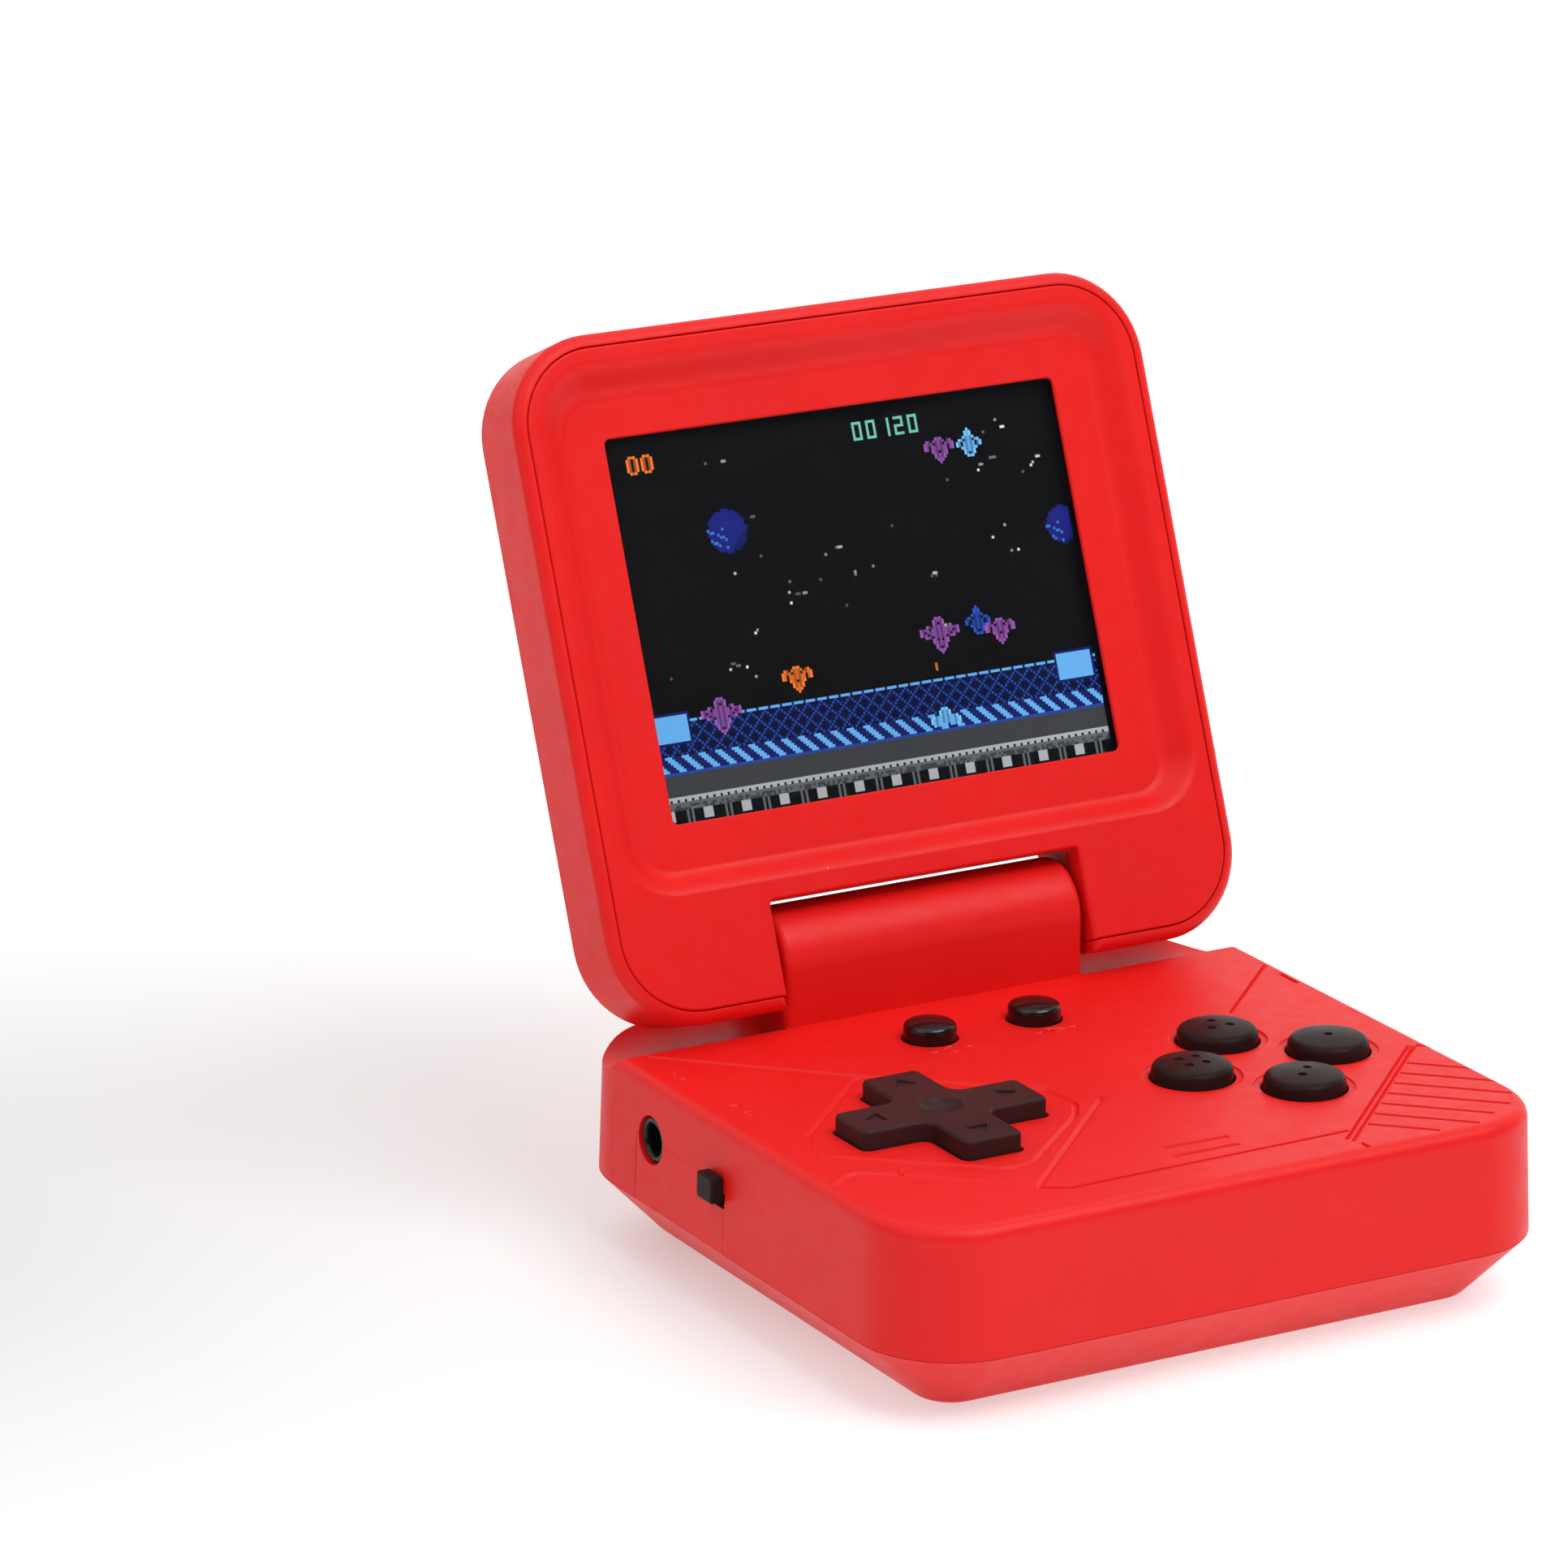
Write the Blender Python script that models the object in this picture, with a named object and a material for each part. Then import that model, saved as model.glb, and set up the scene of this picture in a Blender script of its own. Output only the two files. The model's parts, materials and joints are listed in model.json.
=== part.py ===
"""A clamshell handheld video game: a base with controls and a hinged lid with a 2.8 inch screen.

The origin is the centre of the flat underside. +X points to the player's right, +Y to the hinge, +Z up.
Lengths below are in millimetres and are turned into metres as each mesh is made.
The lid is drawn in its own frame, whose origin is the hinge axis: x right, y up the lid,
z out of the screen.
"""

import math

import bmesh
import bpy
from mathutils import Matrix, Vector

MM = 0.001

# Base casing
BASE_HALF_X = 40.4
BASE_HALF_Y = 38.15
BASE_TOP = 21.9
BASE_CORNER = 10.6
PARTING = 7.5  # height of the joint between the two base shells
DRAFT = 0.5  # the side walls lean out by this much at the joint
CREASE = 1.6
CHAMFER = 6.7  # the underside is this much smaller than the casing, all round
WALL = 1.8
PLATE = 1.6
GAP = 0.3

# Hinge
HINGE_Y = 32.3
HINGE_Z = 28.3
BARREL_R = 5.8
BARREL_HALF_X = 19.25
TROUGH_R = 8.7
PIN_R = 2.0
LEAN = math.radians(21.4)  # how far the open lid leans back from upright

# Lid casing, in the lid's frame
LID_HALF_X = 40.4
LID_LOW = -6.0
LID_HIGH = 71.1
LID_FACE = 6.0
LID_BACK = -4.4
LID_CORNER = 10.5
LID_RIM = 1.45
LID_WALL = 1.6
LID_TAPER = 0.35
NOTCH_HALF_X = 19.8
NOTCH_TOP = 6.1

# Screen, in the lid's frame
SCREEN_X, SCREEN_Y = 57.6, 43.2
SCREEN_MID = 37.8
DISH_DEPTH = 2.2
DISH_OUTER = (37.0, 8.8, 67.3, 6.6)  # half width, low, high and corner radius
DISH_INNER = (34.1, 10.7, 64.4, 4.2)
LENS_FACE = 3.1

# Controls on the base
ACTION_CENTRE = (20.5, -8.5)
ACTION_REACH = 8.8
ACTION_R = 4.65
ACTION_RISE = 1.75  # how far a control stands above the face plate
ACTION_HOLE_R = 4.85
ACTION_RING_R = 5.5
ACTION_RING_DEPTH = 0.2
MENU_CENTRE = (-0.25, 16.1)
MENU_REACH = 6.7
MENU_R = 3.0
MENU_RISE = 2.2
DPAD_CENTRE = (-19.9, -8.45)
DPAD_REACH = 11.3
DPAD_ARM = 3.5
DPAD_PIVOT_Z = 18.0
DPAD_RISE = 2.1
FLANGE_TOP = BASE_TOP - PLATE - GAP

# Left wall
JACK_Y, JACK_Z = 18.6, 15.1
SWITCH_Y0, SWITCH_Y1, SWITCH_Z = 1.9, 8.0, 13.4
KNOB_Z = 14.75  # the knob's cap covers the slot from outside and stands higher than it
TAB_REAR = 21.9

# Electronics and battery bay
BOARD_Z0, BOARD_Z1 = 13.9, 15.1
BAY_Y = -2.0
BAY_HALF_X, BAY_HALF_Y, BAY_TOP = 24.6, 17.1, 12.7
DOOR_Y, DOOR_HALF_X, DOOR_HALF_Y, DOOR_T = -1.0, 26.0, 20.0, 1.5
DOOR_SCREW_Y = 17.0
CELL_R, CELL_LENGTH, CELL_PITCH = 5.25, 43.5, 11.1
SCREW_X, SCREW_Y = 29.0, 26.3
SPEAKER = (13.0, 26.1)
SPEAKER_R = 5.8

COLOURS = {
    "red_abs": ((0.80, 0.022, 0.020), 0.42, 0.0),
    "black_abs": ((0.012, 0.012, 0.013), 0.45, 0.0),
    "gloss_black": ((0.010, 0.010, 0.011), 0.15, 0.0),
    "lens": ((0.02, 0.02, 0.024), 0.08, 0.0),
    "display": ((0.01, 0.012, 0.02), 0.2, 0.0),
    "steel": ((0.60, 0.60, 0.58), 0.3, 1.0),
    "copper_board": ((0.02, 0.16, 0.05), 0.5, 0.0),
    "chip": ((0.02, 0.02, 0.02), 0.5, 0.0),
    "rubber": ((0.35, 0.35, 0.36), 0.7, 0.0),
    "cell_wrap": ((0.05, 0.10, 0.35), 0.35, 0.0),
    "cable": ((0.30, 0.12, 0.03), 0.5, 0.0),
}


def clear_scene():
    for old in list(bpy.data.objects):
        bpy.data.objects.remove(old)


def material(name):
    made = bpy.data.materials.get(name)
    if made is None:
        colour, roughness, metallic = COLOURS[name]
        made = bpy.data.materials.new(name)
        made.use_nodes = True
        shader = made.node_tree.nodes["Principled BSDF"]
        shader.inputs["Base Color"].default_value = (*colour, 1.0)
        shader.inputs["Roughness"].default_value = roughness
        shader.inputs["Metallic"].default_value = metallic
    return made


def place(name, bm, parent=None, at=(0, 0, 0), coat=None):
    """Makes a mesh object from a bmesh in millimetres. Without a coat it is a tool for a Boolean."""
    bmesh.ops.recalc_face_normals(bm, faces=bm.faces)
    bmesh.ops.scale(bm, vec=(MM, MM, MM), verts=bm.verts)
    mesh = bpy.data.meshes.new(name)
    bm.to_mesh(mesh)
    bm.free()
    made = bpy.data.objects.new(name, mesh)
    made.location = Vector(at) * MM
    made.parent = parent
    bpy.context.scene.collection.objects.link(made)
    if coat is None:
        made.hide_render = True
        made.display_type = "WIRE"
    else:
        mesh.materials.append(material(coat))
        mesh.shade_smooth()
        mesh.set_sharp_from_angle(angle=math.radians(35))
    return made


def combine(body, operation, *tools):
    for tool in tools:
        step = body.modifiers.new(tool.name, "BOOLEAN")
        step.operation = operation
        step.solver = "EXACT"
        step.object = tool


def cut(body, *tools):
    combine(body, "DIFFERENCE", *tools)


def join(body, *tools):
    combine(body, "UNION", *tools)


# Shapes. Each returns a bmesh in millimetres.


def rounded(corners, inset=0.0, steps=5):
    """An outline with round corners, from (x, y, radius) corners counterclockwise, moved inwards."""
    count = len(corners)
    points = [Vector(c[:2]) for c in corners]
    inward = []
    for i in range(count):
        along = (points[(i + 1) % count] - points[i]).normalized()
        inward.append(Vector((-along.y, along.x)))
    outline = []
    for i in range(count):
        before, after = inward[i - 1], inward[i]
        turn = before.x * after.y - before.y * after.x
        moved = points[i] + (before + after) * (inset / (1 + before.dot(after)))
        radius = corners[i][2] - inset if turn > 0 else corners[i][2] + inset
        radius = max(radius, 0.05)
        side = 1 if turn > 0 else -1
        middle = moved + (before + after) * (side * radius / (1 + before.dot(after)))
        start = math.atan2(-before.y, -before.x)
        sweep = math.atan2(turn, before.dot(after))
        for k in range(steps + 1):
            angle = start + sweep * k / steps
            outline.append(middle + side * radius * Vector((math.cos(angle), math.sin(angle))))
    return outline


def loft(rings):
    """A closed body through rings of equally many (x, y, z) points, with a flat cap at each end."""
    bm = bmesh.new()
    made = [[bm.verts.new(p) for p in ring] for ring in rings]
    bm.faces.new(made[0])
    bm.faces.new(made[-1][::-1])
    for low, high in zip(made, made[1:]):
        for i in range(len(low)):
            j = (i + 1) % len(low)
            bm.faces.new((low[i], low[j], high[j], high[i]))
    return bm


def stack(corners, levels, steps=5):
    """A lofted body whose outline is inset and raised by each (inset, z) in levels."""
    return loft([[(*p, z) for p in rounded(corners, inset, steps)] for inset, z in levels])


def block(x0, x1, y0, y1, z0, z1):
    bm = bmesh.new()
    bmesh.ops.create_cube(bm, size=1.0)
    bmesh.ops.scale(bm, vec=(x1 - x0, y1 - y0, z1 - z0), verts=bm.verts)
    bmesh.ops.translate(bm, vec=((x0 + x1) / 2, (y0 + y1) / 2, (z0 + z1) / 2), verts=bm.verts)
    return bm


def turned(profile, sides=24, axis="Z"):
    """A body of revolution from (radius, height) pairs, closed by flat ends."""
    rings = []
    for radius, height in profile:
        ring = []
        for k in range(sides):
            angle = 2 * math.pi * k / sides
            ring.append((radius * math.cos(angle), radius * math.sin(angle), height))
        rings.append(ring)
    bm = loft(rings)
    if axis == "X":
        bmesh.ops.rotate(bm, matrix=Matrix.Rotation(math.pi / 2, 3, "Y"), verts=bm.verts)
    return bm


def rod(axis, radius, low, high, sides=24):
    return turned([(radius, low), (radius, high)], sides, axis)


def base_outline():
    x, y, r = BASE_HALF_X, BASE_HALF_Y, BASE_CORNER
    return [(-x, -y, r), (x, -y, r), (x, y, r), (-x, y, r)]


def cross_outline(reach, arm, tip, inner):
    """A plus sign, counterclockwise from the foot of the front arm."""
    quarter = [(-arm, -reach, tip), (arm, -reach, tip), (arm, -arm, inner)]
    corners = []
    for turn in range(4):
        c, s = [(1, 0), (0, 1), (-1, 0), (0, -1)][turn]
        corners += [(x * c - y * s, x * s + y * c, r) for x, y, r in quarter]
    return corners


def lid_outline():
    """The lid from the front, with the notch for the hinge barrel between its two ears."""
    x, low, high, r = LID_HALF_X, LID_LOW, LID_HIGH, LID_CORNER
    notch = NOTCH_HALF_X
    return [
        (-x, low, r),
        (-notch, low, 0.6),
        (-notch, NOTCH_TOP, 1.2),
        (notch, NOTCH_TOP, 1.2),
        (notch, low, 0.6),
        (x, low, r),
        (x, high, r),
        (-x, high, r),
    ]


def screen_outline(half_x, low, high, radius):
    x, r = half_x, radius
    return [(-x, low, r), (x, low, r), (x, high, r), (-x, high, r)]


def action_places():
    x, y = ACTION_CENTRE
    reach = ACTION_REACH
    return {"a": (x + reach, y), "b": (x, y - reach), "x": (x, y + reach), "y": (x - reach, y)}


def menu_places():
    x, y = MENU_CENTRE
    return [(x - MENU_REACH, y), (x + MENU_REACH, y)]


def screw_places():
    return [(sx * SCREW_X, sy * SCREW_Y) for sy in (-1, 1) for sx in (-1, 1)]


# Base


def base_top_shell():
    inner_top = BASE_TOP - PLATE
    levels = [
        (CREASE, BASE_TOP),
        (CREASE * 0.3, BASE_TOP - CREASE * 0.3),
        (0.0, BASE_TOP - CREASE),
        (-DRAFT, PARTING),
        (WALL - DRAFT, PARTING),
        (WALL, inner_top),
    ]
    shell = place("base_top_shell", stack(base_outline(), levels), coat="red_abs")
    inset = WALL / 2
    x, y, r = BASE_HALF_X - inset, BASE_HALF_Y - inset, BASE_CORNER - inset
    bed_outline = [(-x, 24.4, 0.3), (x, 24.4, 0.3), (x, y, r), (-x, y, r)]
    bed = place("trough_bed", stack(bed_outline, [(0, 17.7), (0, BASE_TOP - 0.8)]))
    join(shell, bed)
    # The barrel is drawn long, and the troughs cut it to length.
    foot = 18.2
    profile = [(BARREL_R, foot - HINGE_Z), (BARREL_R, 0)]
    sides = 14
    for k in range(1, sides):
        angle = math.pi * k / sides
        profile.append((BARREL_R * math.cos(angle), BARREL_R * math.sin(angle)))
    profile += [(-BARREL_R, 0), (-BARREL_R, foot - HINGE_Z)]
    ends = [[(x, y, z) for y, z in profile] for x in (-21.5, 21.5)]
    join(shell, place("barrel", loft(ends), at=(0, HINGE_Y, HINGE_Z)))
    for side in (-1, 1):
        low, high = sorted((side * BARREL_HALF_X, side * 45.0))
        trough = rod("X", TROUGH_R, low, high, 48)
        cut(shell, place("trough", trough, at=(0, HINGE_Y, HINGE_Z)))
    cut(shell, place("barrel_hollow", rod("X", 4.2, -16.4, 16.4, 20), at=(0, HINGE_Y, HINGE_Z)))
    cut(shell, place("pin_bores", rod("X", PIN_R + GAP, -20.5, 20.5, 20), at=(0, HINGE_Y, HINGE_Z)))
    cut(shell, place("cable_slot", block(-12, 12, HINGE_Y - 2.4, HINGE_Y + 2.4, 16, HINGE_Z)))
    for key, (bx, by) in action_places().items():
        wide, narrow, floor = ACTION_RING_R, ACTION_HOLE_R, -ACTION_RING_DEPTH
        hole = turned([(narrow, -3), (narrow, floor), (wide, floor), (wide, 1)], 24)
        cut(shell, place("hole_" + key, hole, at=(bx, by, BASE_TOP)))
    for mx, my in menu_places():
        hole = rod("Z", MENU_R + 0.25, -3, 1, 24)
        cut(shell, place("menu_hole", hole, at=(mx, my, BASE_TOP)))
    well = cross_outline(DPAD_REACH, DPAD_ARM, 0.8, 1.6)
    opening = stack(well, [(-0.3, BASE_TOP - 3), (-0.3, BASE_TOP + 1)], 3)
    cut(shell, place("dpad_hole", opening, at=(*DPAD_CENTRE, 0)))
    for sx, sy in screw_places():
        boss = rod("Z", 2.7, 12.6, BASE_TOP - PLATE + 0.5, 14)
        join(shell, place("boss", boss, at=(sx, sy, 0)))
        cut(shell, place("boss_hole", rod("Z", 1.4, 11.0, 19.2, 12), at=(sx, sy, 0)))
    cut(shell, place("tab_cutout", block(-45, -36.5, SWITCH_Y0, TAB_REAR, 5, JACK_Z)))
    left_wall_holes(shell)
    return shell


def left_wall_holes(shell):
    """The jack's hole and the switch's slot are half in each shell."""
    cut(shell, place("jack_hole", rod("X", 2.9, -45, -36.5, 20), at=(0, JACK_Y, JACK_Z)))
    slot = block(-45, -36.5, SWITCH_Y0 - 0.1, SWITCH_Y1, SWITCH_Z - 0.85, SWITCH_Z + 0.85)
    cut(shell, place("switch_slot", slot))


def base_bottom_shell():
    rim = PARTING - GAP
    levels = [
        (CHAMFER + 1.3, 0.0),
        (CHAMFER + 0.4, 0.2),
        (CHAMFER - 0.4, 0.75),
        (-DRAFT, rim),
        (WALL - DRAFT, rim),
        (WALL + 0.4, rim - 0.2),
        (CHAMFER + 0.2, 2.0),
        (CHAMFER + 1.3, 1.8),
    ]
    shell = place("base_bottom_shell", stack(base_outline(), levels), coat="red_abs")
    tab_levels = [(0, rim - 0.6), (0, JACK_Z - GAP)]
    x0, x1 = -BASE_HALF_X - 0.2, -BASE_HALF_X + WALL - 0.4
    y0, y1 = SWITCH_Y0 + GAP, TAB_REAR - GAP
    tab = [(x0, y0, 0.1), (x1, y0, 0.1), (x1, y1, 0.1), (x0, y1, 0.1)]
    join(shell, place("wall_tab", stack(tab, tab_levels, 1)))
    wall = 0.9
    bx, by = BAY_HALF_X, BAY_HALF_Y
    bay = block(-bx - wall, bx + wall, BAY_Y - by - wall, BAY_Y + by + wall, 0.9, BAY_TOP + wall)
    join(shell, place("bay_walls", bay))
    for sx, sy in screw_places():
        join(shell, place("post", rod("Z", 3.2, 0.9, 12.3, 14), at=(sx, sy, 0)))
    dx, dy = DOOR_HALF_X + GAP, DOOR_HALF_Y + GAP
    recess_top = DOOR_T + GAP
    ledge = block(-dx - 0.9, dx + 0.9, DOOR_Y - dy - 0.9, DOOR_Y + dy + 0.9, 0.9, recess_top + 1.2)
    join(shell, place("door_ledge", ledge))
    join(shell, place("door_screw_post", rod("Z", 2.2, 0.9, 6.5, 14), at=(0, DOOR_SCREW_Y, 0)))
    cut(shell, place("bay", block(-bx, bx, BAY_Y - by, BAY_Y + by, -2, BAY_TOP)))
    cut(shell, place("door_recess", block(-dx, dx, DOOR_Y - dy, DOOR_Y + dy, -2, recess_top)))
    cut(shell, place("door_screw_hole", rod("Z", 1.4, 0.5, 5.5, 12), at=(0, DOOR_SCREW_Y, 0)))
    for sx, sy in screw_places():
        well = turned([(2.6, -1), (2.6, 2.4), (1.4, 2.4), (1.4, 14)], 14)
        cut(shell, place("screw_well", well, at=(sx, sy, 0)))
    for hx, hy in speaker_holes():
        cut(shell, place("speaker_hole", rod("Z", 0.8, -1, 4, 8), at=(hx, hy, 0)))
    left_wall_holes(shell)
    return shell


def speaker_holes():
    holes = [SPEAKER]
    for k in range(6):
        angle = math.pi / 3 * k
        holes.append((SPEAKER[0] + 3.4 * math.cos(angle), SPEAKER[1] + 3.4 * math.sin(angle)))
    return holes


def screws():
    """Pan-head screws with a cross recess. The four in the case share one mesh."""
    profile = [(2.2, 0), (2.2, 0.9), (1.5, 1.5), (1.05, 1.5), (1.05, 9.5), (0.2, 10.3)]
    for number, (sx, sy) in enumerate(screw_places(), 1):
        screw = place(f"case_screw_{number}", turned(profile, 16), at=(sx, sy, 0.6), coat="steel")
        for slot in screw_slots((sx, sy, 0.6)):
            cut(screw, slot)
    short = [(1.5, 0), (1.5, 0.5), (1.05, 0.9), (1.05, 4.2)]
    where = (0, DOOR_SCREW_Y, 0.25)
    screw = place("battery_door_screw", turned(short, 16), at=where, coat="steel")
    for slot in screw_slots(where, 0.9, 0.3):
        cut(screw, slot)


def screw_slots(where, reach=1.3, depth=0.6):
    """The two crossed slots of a screw's recess."""
    slots = []
    for long_x, long_y in ((reach, 0.22), (0.22, reach)):
        bar = block(-long_x, long_x, -long_y, long_y, -0.5, depth)
        slots.append(place("recess_bar", bar, at=where))
    return slots


def battery_door():
    x, y = DOOR_HALF_X, DOOR_HALF_Y
    outline = [(-x, -y, 0.6), (x, -y, 0.6), (x, y, 0.6), (-x, y, 0.6)]
    plate = stack(outline, [(0, 0.0), (0, DOOR_T)], 2)
    door = place("battery_door", plate, at=(0, DOOR_Y, 0), coat="red_abs")
    hole = turned([(1.8, -1), (1.8, 0.9), (1.35, 1.15), (1.35, 3)], 14)
    cut(door, place("door_hole", hole, at=(0, DOOR_SCREW_Y, 0)))
    for k in range(3):
        # finger grooves near the front edge
        y0 = DOOR_Y - DOOR_HALF_Y + 2.6 + 1.6 * k
        cut(door, place("grip_groove", block(-7, 7, y0, y0 + 0.8, -1, 0.4)))


def battery_pack():
    """Three AAA cells side by side, each way round in turn, with a coil and a plate at their ends."""
    z = DOOR_T + 0.35 + CELL_R
    for number in range(3):
        way = 1 if number % 2 == 0 else -1
        y = BAY_Y + (number - 1) * CELL_PITCH
        half = CELL_LENGTH / 2
        profile = [(CELL_R - 0.5, -half), (CELL_R, -half + 0.5), (CELL_R, half - 0.5)]
        profile += [(CELL_R - 0.6, half), (1.9, half), (1.9, half + 1.0)]
        cell = turned(profile, 20, "X")
        coil_bm = coil(3.2, 1.7, 0.28, 2.5, 1.3)
        plate = block(24.0, 24.3, -3.6, 3.6, -3.6, 3.6)
        if way < 0:
            for bm in (cell, coil_bm, plate):
                bmesh.ops.rotate(bm, matrix=Matrix.Rotation(math.pi, 3, "Z"), verts=bm.verts)
        place(f"battery_cell_{number + 1}", cell, at=(0, y, z), coat="cell_wrap")
        place(f"battery_spring_{number + 1}", coil_bm, at=(0, y, z), coat="steel")
        place(f"battery_contact_{number + 1}", plate, at=(0, y, z), coat="steel")


def coil(wide, narrow, wire, turns, height):
    """A conical contact coil along X at the flat end of a cell, on the side away from the nub."""
    per_turn, around = 12, 6
    rings = []
    count = int(turns * per_turn)
    for k in range(count + 1):
        share = k / count
        angle = 2 * math.pi * turns * share
        radius = wide + (narrow - wide) * share
        centre = Vector((-24.0 + height * share, radius * math.cos(angle), radius * math.sin(angle)))
        outward = Vector((0, math.cos(angle), math.sin(angle)))
        ring = []
        for j in range(around):
            turn = 2 * math.pi * j / around
            offset = math.cos(turn) * outward + math.sin(turn) * Vector((1, 0, 0))
            ring.append(centre + wire * offset)
        rings.append(ring)
    return loft(rings)


def circuit_board():
    x, y0, y1 = 37.0, -34.5, 22.6
    outline = [(-x, y0, 8.0), (x, y0, 8.0), (x, y1, 1.0), (-x, y1, 1.0)]
    sheet = stack(outline, [(0, BOARD_Z0), (0, BOARD_Z1)], 3)
    board = place("main_board", sheet, coat="copper_board")
    for sx, sy in screw_places():
        if sy < 0:
            cut(board, place("board_hole", rod("Z", 3.3, 12, 17, 14), at=(sx, sy, 0)))
    cut(board, place("jack_notch", block(-40, -26.6, JACK_Y - 3.4, JACK_Y + 3.4, 12, 17)))
    cut(board, place("switch_notch", block(-40, -32.8, SWITCH_Y0 - 2.3, SWITCH_Y1 + 1.9, 12, 17)))
    place("processor_chip", block(-4, 4, -4, 4, 0, 1.1), at=(0, 2.0, BOARD_Z1 + 0.1), coat="chip")


def audio_jack():
    body = block(-38.2, -27.0, JACK_Y - 3.0, JACK_Y + 3.0, JACK_Z - 2.5, JACK_Z + 2.5)
    jack = place("audio_jack", body, coat="gloss_black")
    join(jack, place("jack_nose", rod("X", 2.5, -40.3, -36.0, 24), at=(0, JACK_Y, JACK_Z)))
    cut(jack, place("jack_bore", rod("X", 1.8, -42.0, -28.0, 20), at=(0, JACK_Y, JACK_Z)))


def power_switch():
    y0, y1, z = SWITCH_Y0 - 2.0, SWITCH_Y1 + 1.6, SWITCH_Z
    body = place("power_switch_body", block(-38.2, -33.1, y0, y1, z - 2.2, z + 2.2), coat="steel")
    slot = block(-39.5, -36.2, SWITCH_Y0 - 0.4, SWITCH_Y1 + 0.3, z - 0.8, z + 0.8)
    cut(body, place("knob_slot", slot))
    half = 1.65
    middle = SWITCH_Y0 + 0.1 + half
    cap = block(-42.2, -40.8, -half, half, -1.5, 1.5)
    knob = place("power_switch_knob", cap, at=(0, middle, KNOB_Z), coat="black_abs")
    stem = block(-41.0, -36.6, -0.8, 0.8, -0.5, 0.5)
    join(knob, place("knob_stem", stem, at=(0, middle, z)))


def speaker():
    profile = [(2.6, 6.0), (2.6, 5.0), (SPEAKER_R - 0.4, 4.3), (SPEAKER_R, 4.0), (SPEAKER_R, 3.0)]
    profile += [(SPEAKER_R - 0.9, 3.0), (SPEAKER_R - 1.1, 3.4), (1.6, 4.0)]
    place("speaker", turned(profile, 24), at=(*SPEAKER, 0), coat="steel")


def button(name, where, radius, height, coat):
    """A domed cap with a flange that holds it under the top plate."""
    rise = BASE_TOP - FLANGE_TOP + height
    profile = [
        (radius - 1.2, -1.4),
        (radius - 1.2, -0.9),
        (radius + 1.0, -0.9),
        (radius + 1.0, 0.0),
        (radius, 0.0),
        (radius - 0.2, rise - 0.75),
        (radius - 0.45, rise - 0.35),
        (radius - 1.05, rise - 0.14),
        (radius * 0.4, rise),
    ]
    return place(name, turned(profile, 24), at=(*where, FLANGE_TOP), coat=coat)


def controls():
    for key, where in action_places().items():
        button("button_" + key, where, ACTION_R, ACTION_RISE, "black_abs")
    for name, where in zip(("button_reset", "button_start"), menu_places()):
        button(name, where, MENU_R, MENU_RISE, "gloss_black")
    disc = turned([(2.6, -1.3), (3.0, -1.1), (3.0, -0.1)], 16)
    place("dpad_pivot_disc", disc, at=(*DPAD_CENTRE, DPAD_PIVOT_Z), coat="black_abs")
    plus = cross_outline(DPAD_REACH, DPAD_ARM, 0.8, 1.6)
    top = BASE_TOP + DPAD_RISE - DPAD_PIVOT_Z
    levels = [(0, 0.7), (0, top - 0.5), (0.15, top - 0.15), (0.5, top)]
    pad = place("dpad", stack(plus, levels, 3), at=(*DPAD_CENTRE, DPAD_PIVOT_Z), coat="black_abs")
    flange = rod("Z", 13.0, 0.4, 1.2, 32)
    join(pad, place("dpad_flange", flange, at=(*DPAD_CENTRE, DPAD_PIVOT_Z)))
    dimple = turned([(1.0, top - 0.9), (1.9, top - 0.6), (2.5, top), (2.6, top + 0.2)], 20)
    cut(pad, place("dpad_dimple", dimple, at=(*DPAD_CENTRE, DPAD_PIVOT_Z)))


def membrane(name, outline, domes, dome_r, dome_top):
    """A rubber sheet with hollow domes that push the controls back up."""
    low = BOARD_Z1 + GAP
    sheet = place(name, stack(outline, [(0, low), (0, low + 0.9)], 2), coat="rubber")
    for x, y in domes:
        shape = turned([(dome_r, low + 0.3), (dome_r - 0.9, dome_top)], 14)
        join(sheet, place("dome", shape, at=(x, y, 0)))
        hollow = turned([(dome_r - 0.8, low - 1), (dome_r - 1.6, dome_top - 0.8)], 12)
        cut(sheet, place("dome_hollow", hollow, at=(x, y, 0)))


def membranes():
    x, y = ACTION_CENTRE
    low, high, r = y - 14, y + 14, 3.0
    outline = [(x - 14, low, r), (x + 14, low, r), (x + 14, high, r), (x - 14, high, r)]
    membrane("membrane_action", outline, action_places().values(), 3.4, FLANGE_TOP - 1.4 - GAP)
    outline = screen_outline(11.5, MENU_CENTRE[1] - 4.2, MENU_CENTRE[1] + 4.2, 2.0)
    membrane("membrane_menu", outline, menu_places(), 2.6, FLANGE_TOP - 1.4 - GAP)
    x, y = DPAD_CENTRE
    low, high = y - 12, y + 12
    outline = [(x - 12, low, r), (x + 12, low, r), (x + 12, high, r), (x - 12, high, r)]
    spots = [(x + 8, y), (x - 8, y), (x, y + 8), (x, y - 8)]
    membrane("membrane_dpad", outline, spots, 2.6, DPAD_PIVOT_Z + 0.4 - GAP)


# Hinge


def hinge_parts(lid):
    axis = (0, HINGE_Y, HINGE_Z)
    clutch = place("hinge_clutch", rod("X", 3.8, -16.1, -6.0, 20), at=axis, coat="steel")
    cut(clutch, place("clutch_bore", rod("X", PIN_R + GAP, -17.0, -10.0, 16), at=axis))
    place("hinge_pin_left", rod("X", PIN_R, -27.0, -10.6, 20), lid, coat="steel")
    pin = place("hinge_pin_right", rod("X", PIN_R, 13.5, 27.0, 20), lid, coat="steel")
    cut(pin, place("pin_bore", rod("X", 1.25, 12.5, 28.0, 16), lid))


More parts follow.
